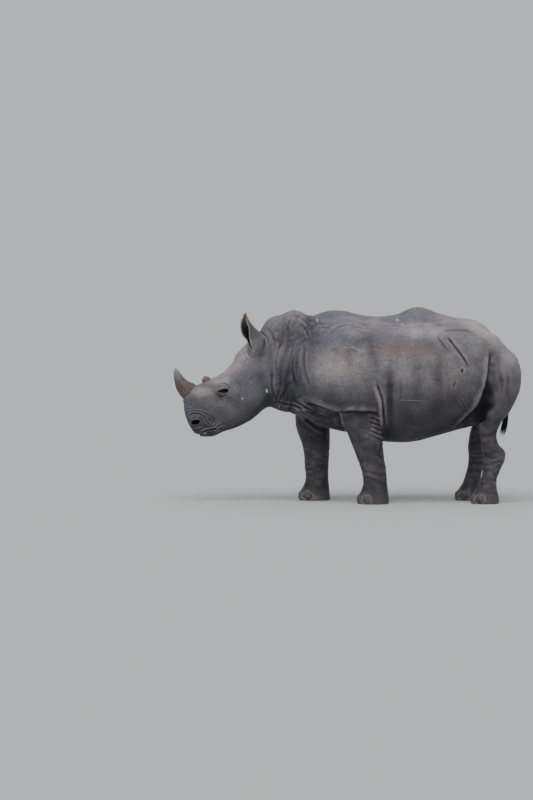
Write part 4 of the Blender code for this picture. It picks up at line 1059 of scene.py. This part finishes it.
hue = tone(hue, DARK_HIDE_AND_SHADE, times(times(drip, share["upright"]), 0.22))
hue = tone(hue, DARK_HIDE_AND_SHADE, times(share["ear_cup_shade"], 0.75))
hue = tone(hue, PALE_DUST_AND_HIGHLIGHT, times(share["ear_rim"], 0.60))
hue = tone(hue, "#7a5130", times(share["ear_tip"], 0.80))
for place, size, turn, amount, over in (
    ((0.918, -0.40, 1.082), (0.026, 0.2, 0.034), 20, 0.45, SCAR),  # a healed wound on the left flank
    ((0.916, -0.40, 1.080), (0.014, 0.2, 0.022), 20, 0.95, RAW),
    ((0.852, -0.40, 0.972), (0.007, 0.2, 0.034), 24, 0.8, RAW),  # scratches
    ((0.500, -0.40, 0.842), (0.110, 0.2, 0.004), 2, 0.5, SCAR),
    ((0.096, -0.40, 0.891), (0.008, 0.2, 0.008), 0, 0.8, RAW),
    ((-0.610, -0.30, 1.030), (0.018, 0.2, 0.014), 0, 0.6, RAW),
    ((-0.846, -0.20, 0.845), (0.009, 0.15, 0.008), 0, 0.8, CHALK),  # bird lime
    ((-0.648, -0.25, 0.907), (0.011, 0.2, 0.019), -12, 0.9, CHALK),
    ((0.405, -0.15, 1.478), (0.014, 0.1, 0.007), 0, 0.8, CHALK),
    ((0.441, -0.20, 1.442), (0.012, 0.1, 0.005), 20, 0.7, CHALK),
    ((-0.243, -0.15, 1.474), (0.006, 0.1, 0.018), 0, 0.6, CHALK),
    ((-1.149, -0.08, 0.559), (0.022, 0.09, 0.011), 0, 0.7, SCAR),  # the pale edge of the lower lip
):
    hue = tone(hue, over, times(mark(place, size, turn), amount))
grit = {"Value": speck, "From Min": 0.3, "From Max": 0.7, "To Min": 0.80, "To Max": 1.18}
grit = node(tree, "MapRange", grit).outputs[0]
hue = node(tree, "VectorMath", {0: hue, "Scale": grit}, operation="SCALE").outputs[0]
tree.links.new(hue, shader.inputs["Base Color"])
rough = node(tree, "MapRange", {"Value": share["dark_hide_and_shade"], "To Min": 0.74, "To Max": 0.56}).outputs[0]
tree.links.new(rough, shader.inputs["Roughness"])
relief = times(plates, 0.25)
for part, amount in ((craze, 0.30), (speck, 0.7), (less(lined), 1.0)):
    relief = node(tree, "Math", {0: part, 1: amount, 2: relief}, operation="MULTIPLY_ADD").outputs[0]
bump = node(tree, "Bump", {"Height": relief, "Strength": 0.7, "Distance": 0.002}).outputs[0]
tree.links.new(bump, shader.inputs["Normal"])
shader.inputs["Specular IOR Level"].default_value = 0.30
hide.data.materials.clear()
hide.data.materials.append(hide_finish)

pick(hide)
bpy.ops.object.shade_smooth()
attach(hide, "root")
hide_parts(*FLESH, "ear_left", "ear_right")

# ---------------------------------------------------------------- eyes
# Small dark eyes set low on the head: a brown iris round a wide pupil, under a clear wet front.
# Each ball is bulged at the front for the cornea, and its look is drawn round the way it faces.

EYE_WAY = (-0.10, 0.98, -0.04)  # the way the right eye faces
IRIS, PUPIL = 0.0155, 0.0085  # radii

for side, node_name in ((LEFT, "eye_left"), (RIGHT, "eye_right")):
    bpy.ops.object.select_all(action="DESELECT")
    bpy.ops.mesh.primitive_uv_sphere_add(segments=64, ring_count=40, radius=1, location=(0, 0, 0))
    ball = bpy.context.active_object
    ball.name = ball.data.name = node_name.replace("eye", "eyeball")
    way = np.array((EYE_WAY[0], side * EYE_WAY[1], EYE_WAY[2]))
    form = places(ball.data) * EYE_BALL
    off_axis = np.linalg.norm(form - np.outer(form @ way, way), axis=1)
    bulge = 0.0030 * np.exp(-((off_axis / 0.014) ** 4)) * (form @ way > 0)
    centre = np.array((EYE[0], side * EYE[1], EYE[2]))
    put_back(ball.data, form + np.outer(bulge, way) + centre)
    keep_values(ball, "off_axis", np.where(form @ way > 0, off_axis, 0.05))
    bpy.ops.object.shade_smooth()
    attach(ball, "root")
    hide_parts(node_name)

    # Wet cornea over pigmented tissue: nearly black, with a sharp clear gloss.
    eye_finish, tree, shader = start_material("wet_" + node_name)
    off = node(tree, "Attribute", attribute_name="off_axis").outputs["Fac"]
    at = node(tree, "TexCoord").outputs["Object"]
    streaks = node(tree, "TexNoise", {"Vector": at, "Scale": 420.0, "Detail": 3.0}).outputs["Fac"]
    edge = {"Value": off, "From Min": IRIS - 0.0012, "From Max": IRIS + 0.0008}
    past_iris = node(tree, "MapRange", edge).outputs[0]
    edge = {"Value": off, "From Min": PUPIL - 0.0006, "From Max": PUPIL + 0.0006}
    past_pupil = node(tree, "MapRange", edge).outputs[0]
    hue = tone("#140b07", "#291910", streaks)
    hue = tone("#020202", hue, past_pupil)
    hue = tone(hue, "#0f0b0a", past_iris)
    tree.links.new(hue, shader.inputs["Base Color"])
    shader.inputs["Roughness"].default_value = 0.10
    shader.inputs["Specular IOR Level"].default_value = 0.30
    shader.inputs["IOR"].default_value = 1.34
    ball.data.materials.append(eye_finish)

# ---------------------------------------------------------------- horns
# Packed keratin fibres that grow from the skin of the nose, frayed at the root and worn smooth at the tip.
# Each solid is copied, rounded in a close mesh, and grooved along its length as the fibres run.


def rounded_copy(node_name, edge, passes):
    """A copy of a solid as an even close mesh with soft edges, as an object of its own."""
    pick(frame["nodes"][node_name])
    bpy.ops.object.duplicate()
    copy = bpy.context.active_object
    bpy.ops.object.parent_clear(type="CLEAR_KEEP_TRANSFORM")
    merge_corners()
    weave(copy, edge)
    soften(copy, passes)
    once = places(copy.data)
    soften(copy, passes)
    put_back(copy.data, 2 * once - places(copy.data))
    copy.data.materials.clear()
    bpy.ops.object.shade_smooth()
    return copy


FRONT_HORN = [(-1.218, 0.838), (-1.262, 0.884), (-1.300, 0.916), (-1.342, 0.966), (-1.370, 1.022),
              (-1.386, 1.082)]
REAR_HORN = [(-1.106, 0.895), (-1.118, 0.930), (-1.132, 0.975), (-1.149, 1.020)]
HORNS = {  # middle from root to tip, (x, z), half the root's length, how far it swells, depth of its grooves
    "horn_front": (FRONT_HORN, 0.076, 0.006, 0.0022),
    "horn_rear": (REAR_HORN, 0.042, 0.008, 0.0006),
}

FIBRE_PACE = 0.12  # the fibres' pattern changes this much slower along the horn than round it
RING_SPACING = 0.012

for node_name, (line, root_radius, root_swell, root_grooves) in HORNS.items():
    horn = rounded_copy(node_name, 0.0028, 40)
    horn.name = horn.data.name = "keratin_" + node_name
    form, way_out = places(horn.data), outwards(horn.data)
    middle = smooth_line(line, 0.004)
    steps = np.concatenate([[0.0], np.cumsum(np.linalg.norm(np.diff(middle, axis=0), axis=1))])
    to_line = np.hypot(form[:, 0:1] - middle[:, 0], form[:, 2:3] - middle[:, 1])
    nearest = to_line.argmin(axis=1)
    along = steps[nearest] / steps[-1]
    ahead = np.gradient(middle, axis=0)
    ahead /= np.linalg.norm(ahead, axis=1)[:, None]
    off_x, off_z = form[:, 0] - middle[nearest, 0], form[:, 2] - middle[nearest, 1]
    round_it = np.arctan2(off_x * ahead[nearest, 1] - off_z * ahead[nearest, 0], form[:, 1])
    far_along = along * steps[-1]
    ring = root_radius * np.stack([np.cos(round_it), np.sin(round_it)], axis=1)
    fibre = np.column_stack([ring, far_along * FIBRE_PACE])
    keep_values(horn, "fibre", fibre)
    keep_values(horn, "along", along)
    frayed = ramp(0.55 - along, 0.0, 0.5)
    grooves = 0.0016 * grain(fibre, 0.006, 61) + root_grooves * grain(fibre, 0.014, 62)
    rings = 0.0022 * np.sin(far_along / RING_SPACING + 2.0 * grain(form, 0.04, 63)) * frayed
    swell = root_swell * ramp(0.22 - along, 0.0, 0.22)
    worn = 0.35 + 0.65 * frayed
    form += (grooves * worn + rings * 0.5 + swell + 0.002 * grain(form, 0.05, 64))[:, None] * way_out
    put_back(horn.data, form)
    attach(horn, "root")
    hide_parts(node_name)

    # Horn keratin: brown-red dusty fibres at the root, rubbed grey and a little glossy at the tip.
    horn_finish, tree, shader = start_material("fibrous_" + node_name)
    run = node(tree, "Attribute", attribute_name="fibre").outputs["Vector"]
    up_it = node(tree, "Attribute", attribute_name="along").outputs["Fac"]
    at = node(tree, "TexCoord").outputs["Object"]
    fine = {"Vector": run, "Scale": 260.0, "Detail": 4.0, "Roughness": 0.6}
    threads = node(tree, "TexNoise", fine).outputs["Fac"]
    strands_seen = node(tree, "MapRange", {"Value": threads, "From Min": 0.36, "From Max": 0.64}).outputs[0]
    cloud = node(tree, "TexNoise", {"Vector": at, "Scale": 22.0, "Detail": 4.0}).outputs["Fac"]
    cloud = node(tree, "MapRange", {"Value": cloud, "From Min": 0.38, "From Max": 0.62}).outputs[0]
    if node_name == "horn_front":
        hue = tone("#3a302e", "#6d625f", strands_seen)
        hue = tone(hue, "#4a3f3e", times(cloud, 0.6))
        worn_tip = node(tree, "MapRange", {"Value": up_it, "From Min": 0.62, "From Max": 0.90}).outputs[0]
        hue = tone(hue, "#74737a", worn_tip)
        low = node(tree, "MapRange", {"Value": up_it, "From Min": 0.24, "From Max": 0.04}).outputs[0]
        hue = tone(hue, "#77716f", times(low, 0.7))
    else:
        hue = tone("#4d3a37", "#75625f", strands_seen)
        hue = tone(hue, "#625352", times(cloud, 0.7))
        low = node(tree, "MapRange", {"Value": up_it, "From Min": 0.30, "From Max": 0.05}).outputs[0]
        hue = tone(hue, "#3a2b2b", times(low, 0.7))
    tree.links.new(hue, shader.inputs["Base Color"])
    gloss = node(tree, "MapRange", {"Value": up_it, "To Min": 0.72, "To Max": 0.48}).outputs[0]
    tree.links.new(gloss, shader.inputs["Roughness"])
    bump = node(tree, "Bump", {"Height": threads, "Strength": 0.6, "Distance": 0.0015}).outputs[0]
    tree.links.new(bump, shader.inputs["Normal"])
    horn.data.materials.append(horn_finish)

# ---------------------------------------------------------------- toenails
# Three broad nails of keratin on each foot, worn square along the ground, with ridges down them.
# Each solid is copied and rounded, and its face is grooved.

nail_finish, tree, shader = start_material("worn_nail_keratin")
at = node(tree, "TexCoord").outputs["Object"]
down = node(tree, "Mapping", {"Vector": at, "Scale": (120.0, 120.0, 14.0)}).outputs[0]
down = node(tree, "TexNoise", {"Vector": down, "Scale": 1.0, "Detail": 4.0}).outputs["Fac"]
growth = node(tree, "Mapping", {"Vector": at, "Scale": (10.0, 10.0, 150.0)}).outputs[0]
growth = node(tree, "TexNoise", {"Vector": growth, "Scale": 1.0, "Detail": 3.0}).outputs["Fac"]
mud = node(tree, "TexNoise", {"Vector": at, "Scale": 35.0, "Detail": 5.0}).outputs["Fac"]
mud = node(tree, "MapRange", {"Value": mud, "From Min": 0.42, "From Max": 0.60}).outputs[0]
hue = tone("#3b3633", "#6d655f", down)
hue = tone(hue, "#4a443f", times(growth, 0.6))
hue = tone(hue, "#2a2624", times(mud, 0.65))
tree.links.new(hue, shader.inputs["Base Color"])
shader.inputs["Roughness"].default_value = 0.62
relief = node(tree, "Math", {0: down, 1: growth}, operation="ADD").outputs[0]
bump = node(tree, "Bump", {"Height": relief, "Strength": 0.5, "Distance": 0.0015}).outputs[0]
tree.links.new(bump, shader.inputs["Normal"])

for node_name in sorted(name for name in frame["nodes"] if name.startswith("nail_")):
    nail = rounded_copy(node_name, 0.0025, 60)
    nail.name = nail.data.name = "toe" + node_name
    form, way_out = places(nail.data), outwards(nail.data)
    lined = np.stack([form[:, 0], form[:, 1], form[:, 2] / 9], axis=1)
    rings = np.stack([form[:, 0] / 6, form[:, 1] / 6, form[:, 2]], axis=1)
    form += (0.0009 * grain(lined, 0.005, 71) + 0.0008 * grain(rings, 0.011, 72) + 0.0040)[:, None] * way_out
    form[:, 2] = np.maximum(form[:, 2], 0.001)
    put_back(nail.data, form)
    nail.data.materials.append(nail_finish)
    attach(nail, "root")
    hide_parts(node_name)

# ---------------------------------------------------------------- hair: tail tuft, lashes and ear fringe
# The few stiff hairs of the species: a black wiry tuft, lashes, and a tawny fringe on the ears' rims.
# One tapered strand is modelled, and copied along roots, each copy bent and turned its own way.

STRAND_STEPS = 6  # lengths that a strand can bend between
bpy.ops.object.select_all(action="DESELECT")
bpy.ops.mesh.primitive_cone_add(vertices=3, radius1=1.0, radius2=0.12, depth=1.0, location=(0, 0, 0.5))
strand = bpy.context.active_object
bpy.ops.object.transform_apply(location=True)
bpy.ops.object.mode_set(mode="EDIT")
for i in range(1, STRAND_STEPS):
    bpy.ops.mesh.select_all(action="SELECT")
    bpy.ops.mesh.bisect(plane_co=(0, 0, i / STRAND_STEPS), plane_no=(0, 0, 1))
bpy.ops.object.mode_set(mode="OBJECT")
PATCH = 0.003  # how wide each strand's patch is on the unwrap
STRAND = places(strand.data)
STRAND_FACES = [tuple(face.vertices) for face in strand.data.polygons]
bpy.data.objects.remove(strand)


def hair(name, roots, ways, falls, lengths, thick, unwrapped, seed):
    """Joined strands: where each starts, the way it starts, the way it bends to, its length and root radius,
    and the place of its root on an unwrap of the skin."""
    rng = np.random.default_rng(seed)
    points, faces, uvs = [], [], []
    for i in range(len(roots)):
        way = ways[i] / np.linalg.norm(ways[i])
        across = np.cross(way, rng.normal(size=3))
        across /= np.linalg.norm(across)
        other = np.cross(way, across)
        t = STRAND[:, 2]
        path = roots[i] + np.outer(t * lengths[i], way) + np.outer(t**2 * lengths[i], falls[i])
        wave = 0.05 * lengths[i] * np.sin(t * rng.uniform(3, 7) + rng.uniform(0, 6)) * t
        path += np.outer(wave, across)
        body = np.outer(STRAND[:, 0] * thick[i], across) + np.outer(STRAND[:, 1] * thick[i], other)
        start = len(points) * len(STRAND)
        points.append(path + body)
        faces += [tuple(v + start for v in face) for face in STRAND_FACES]
        uvs.append(unwrapped[i] + PATCH / 2 * STRAND[:, :2] * (1 - 0.5 * t)[:, None])
    mesh = bpy.data.meshes.new(name)
    mesh.from_pydata(np.concatenate(points).tolist(), [], faces)
    tuft = bpy.data.objects.new(name, mesh)
    bpy.context.scene.collection.objects.link(tuft)
    pick(tuft)
    bpy.ops.object.mode_set(mode="EDIT")
    bpy.ops.mesh.select_all(action="SELECT")
    bpy.ops.mesh.normals_make_consistent(inside=False)
    bpy.ops.object.mode_set(mode="OBJECT")
    bpy.ops.object.shade_smooth()
    spread = np.concatenate(uvs)
    corners = np.empty(len(mesh.loops), np.int32)
    mesh.loops.foreach_get("vertex_index", corners)
    mesh.uv_layers.new(name="OFBake").data.foreach_set("uv", spread[corners].astype(np.float32).ravel())
    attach(tuft, "root")
    return tuft


def hair_finish(name, dark_tone, light_tone, fineness):
    """Hair keratin: hard and a little glossy, each strand a shade of its own."""
    made, tree, shader = start_material(name)
    at = node(tree, "TexCoord").outputs["Object"]
    shade = node(tree, "TexNoise", {"Vector": at, "Scale": fineness, "Detail": 2.0}).outputs["Fac"]
    shade = node(tree, "MapRange", {"Value": shade, "From Min": 0.35, "From Max": 0.65}).outputs[0]
    tones = {0: shade, 6: colour(dark_tone), 7: colour(light_tone)}
    hue = node(tree, "Mix", tones, data_type="RGBA").outputs[2]
    tree.links.new(hue, shader.inputs["Base Color"])
    shader.inputs["Roughness"].default_value = 0.45
    return made


rng = np.random.default_rng(5)
TAIL_END, TUFT_HAIRS, TUFT_LONG = (1.2950, 0.0, 0.7050), 420, 0.185
angle, high = rng.uniform(0, 2 * math.pi, TUFT_HAIRS), rng.uniform(0, 1, TUFT_HAIRS)
radius = 0.011 * np.sqrt(1.02 - high * 0.2)
cosine, sine = np.cos(angle), np.sin(angle)
roots = np.stack([radius * cosine + 0.006 * high - 0.004, radius * sine, 0.050 * high - 0.012], axis=1)
roots += TAIL_END
ways = np.stack([0.16 * cosine - 0.10, 0.20 * sine, np.full(TUFT_HAIRS, -1.0)], axis=1)
falls = np.stack([-0.10 - 0.12 * cosine, -0.16 * sine, np.full(TUFT_HAIRS, 0.03)], axis=1)
lengths = TUFT_LONG * (0.45 + 0.55 * rng.uniform(0, 1, TUFT_HAIRS) ** 0.5)
tuft = hair("tail_bristles", roots, ways, falls, lengths, rng.uniform(0.0008, 0.0015, TUFT_HAIRS),
            np.stack([0.02 + 0.96 * angle / (2 * math.pi), 0.05 + 0.9 * high], axis=1), 6)
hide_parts("tail_tuft")
tuft.data.materials.append(hair_finish("black_bristle", "#0c0b0c", "#26211f", 161.0))

# A dark core stands for the dense heart of the tuft, where single hairs don't show.
bpy.ops.object.select_all(action="DESELECT")
bpy.ops.mesh.primitive_uv_sphere_add(segments=32, ring_count=24, radius=1, location=(0, 0, 0))
core = bpy.context.active_object
core.name = core.data.name = "tail_tuft_core"
form = places(core.data)
drop = (1 - form[:, 2]) / 2
form = form * (0.0125, 0.0125, 0.078)
form[:, :2] *= (1 - 0.55 * drop)[:, None]
form += (TAIL_END[0] - 0.004, 0, TAIL_END[2] - 0.055)
form[:, 0] -= 0.020 * drop**1.5
lined = np.stack([form[:, 0], form[:, 1], form[:, 2] / 12], axis=1)
put_back(core.data, form)
form += (0.0022 * grain(lined, 0.004, 75))[:, None] * outwards(core.data)
put_back(core.data, form)
bpy.ops.object.shade_smooth()
core.data.materials.append(tuft.data.materials[0])
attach(core, "root")

LASHES = 44
UPPER_LID = [(-1.0400, 0.9020), (-1.0270, 0.9125), (-1.0050, 0.9230), (-0.9820, 0.9265), (-0.9640, 0.9190)]
upper_lid = smooth_line(UPPER_LID, 0.001)
skin = surface_of(hide)
for side, word in ((LEFT, "left"), (RIGHT, "right")):
    roots = []
    for x, z in upper_lid[np.linspace(0, len(upper_lid) - 1, LASHES).astype(int)]:
        place = skin.ray_cast(Vector((x, side * 0.4, z)), Vector((0, -side, 0)))[0]
        on_lid = place.y if place and abs(place.y) > 0.13 else side * 0.150
        roots.append((x, on_lid - side * 0.002, z))
    roots = np.array(roots)
    fan = np.linspace(-0.4, 0.4, LASHES)
    ways = np.stack([fan, np.full(LASHES, side * 0.9), np.full(LASHES, -0.15)], axis=1)
    ways += rng.normal(0, 0.08, (LASHES, 3))
    falls = np.stack([np.zeros(LASHES), np.full(LASHES, -side * 0.15), np.full(LASHES, -0.35)], axis=1)
    lengths = 0.019 + 0.007 * rng.uniform(-1, 1, LASHES)
    lashes = hair("lashes_" + word, roots, ways, falls, lengths, np.full(LASHES, 0.0005),
                  np.stack([np.linspace(0.1, 0.9, LASHES), np.full(LASHES, 0.5)], axis=1), 7)
    lashes.data.materials.append(bpy.data.materials["black_bristle"])

FRINGE = 420
tawny = hair_finish("tawny_fringe", "#6b4527", "#a0743f", 169.0)
for side, word in ((LEFT, "left"), (RIGHT, "right")):
    share = 1 - 0.60 * rng.uniform(0, 1, FRINGE) ** 2.4
    turn = np.where(rng.uniform(0, 1, FRINGE) < 0.5, -1.0, 1.0) * rng.uniform(0.955, 1.0, FRINGE)
    turn = np.where(share > 0.94, rng.uniform(-1, 1, FRINGE), turn)
    roots = ear_spots(side, turn, share)
    past_edge = ear_spots(side, turn * 1.04, share) - ear_spots(side, turn * 0.96, share)
    past_edge *= (np.sign(turn) * (np.abs(turn) > 0.9) / np.linalg.norm(past_edge, axis=1))[:, None]
    away = roots - ear_spots(side, turn, share, inward=0.01)
    away /= np.linalg.norm(away, axis=1)[:, None]
    up = ear_frame(side)[1]
    ways = past_edge + 0.5 * up * (0.3 + ramp(share, 0.8, 1.0))[:, None] + 0.15 * away
    ways += rng.normal(0, 0.16, (FRINGE, 3))
    lengths = (0.006 + 0.012 * ramp(share, 0.75, 0.98)) * rng.uniform(0.6, 1.2, FRINGE)
    fringe = hair("ear_fringe_" + word, roots, ways, np.tile(0.2 * up, (FRINGE, 1)), lengths,
                  np.full(FRINGE, 0.0005), np.stack([0.5 + 0.45 * turn, 0.05 + 0.9 * share], axis=1), 8)
    fringe.data.materials.append(tawny)

# ---------------------------------------------------------------- floor, light and camera
# A plain pale studio floor that meets an even pale sky without an edge, and one wide soft light from above.
# The camera looks level along the near side from far off, just above the floor.

bpy.ops.object.select_all(action="DESELECT")
bpy.ops.mesh.primitive_plane_add(size=400, location=(0, 0, 0))
floor = bpy.context.active_object
floor.name = "studio_floor"
floor_paint, _, shader = start_material("matt_floor_paint")
shader.inputs["Base Color"].default_value = (0.49, 0.50, 0.51, 1)
shader.inputs["Roughness"].default_value = 0.9
floor.data.materials.append(floor_paint)

sky = bpy.data.worlds.new("studio_sky")
bpy.context.scene.world = sky
sky.use_nodes = True
background = sky.node_tree.nodes["Background"]
background.inputs["Color"].default_value = (0.93, 0.965, 1.0, 1)
background.inputs["Strength"].default_value = 0.64

KEY_FROM = Vector((-0.6, -4.2, 6.9))  # the light comes from above the near side, and a little from the front
bpy.ops.object.light_add(type="SUN", location=KEY_FROM)
key = bpy.context.active_object
key.data.energy = 2.2
key.data.angle = math.radians(45)  # as wide as a large softbox close by
key.data.color = (1.0, 0.97, 0.92)
key.rotation_euler = (-KEY_FROM).to_track_quat("-Z", "Y").to_euler()

FRAME_HEIGHT = 6.48  # metres from the top to the bottom of the view, where the animal stands
AIM = (-0.6505, 0.0, 0.826)
DISTANCE = 32.0
LIFT = math.radians(2.6)  # how far the camera looks down
bpy.ops.object.camera_add()
camera = bpy.context.active_object
camera.data.lens = camera.data.sensor_width * DISTANCE / FRAME_HEIGHT
camera.data.clip_end = 200
camera.location = (AIM[0], AIM[1] - DISTANCE * math.cos(LIFT), AIM[2] + DISTANCE * math.sin(LIFT))
camera.rotation_euler = (math.radians(90) - LIFT, 0, 0)
bpy.context.scene.camera = camera
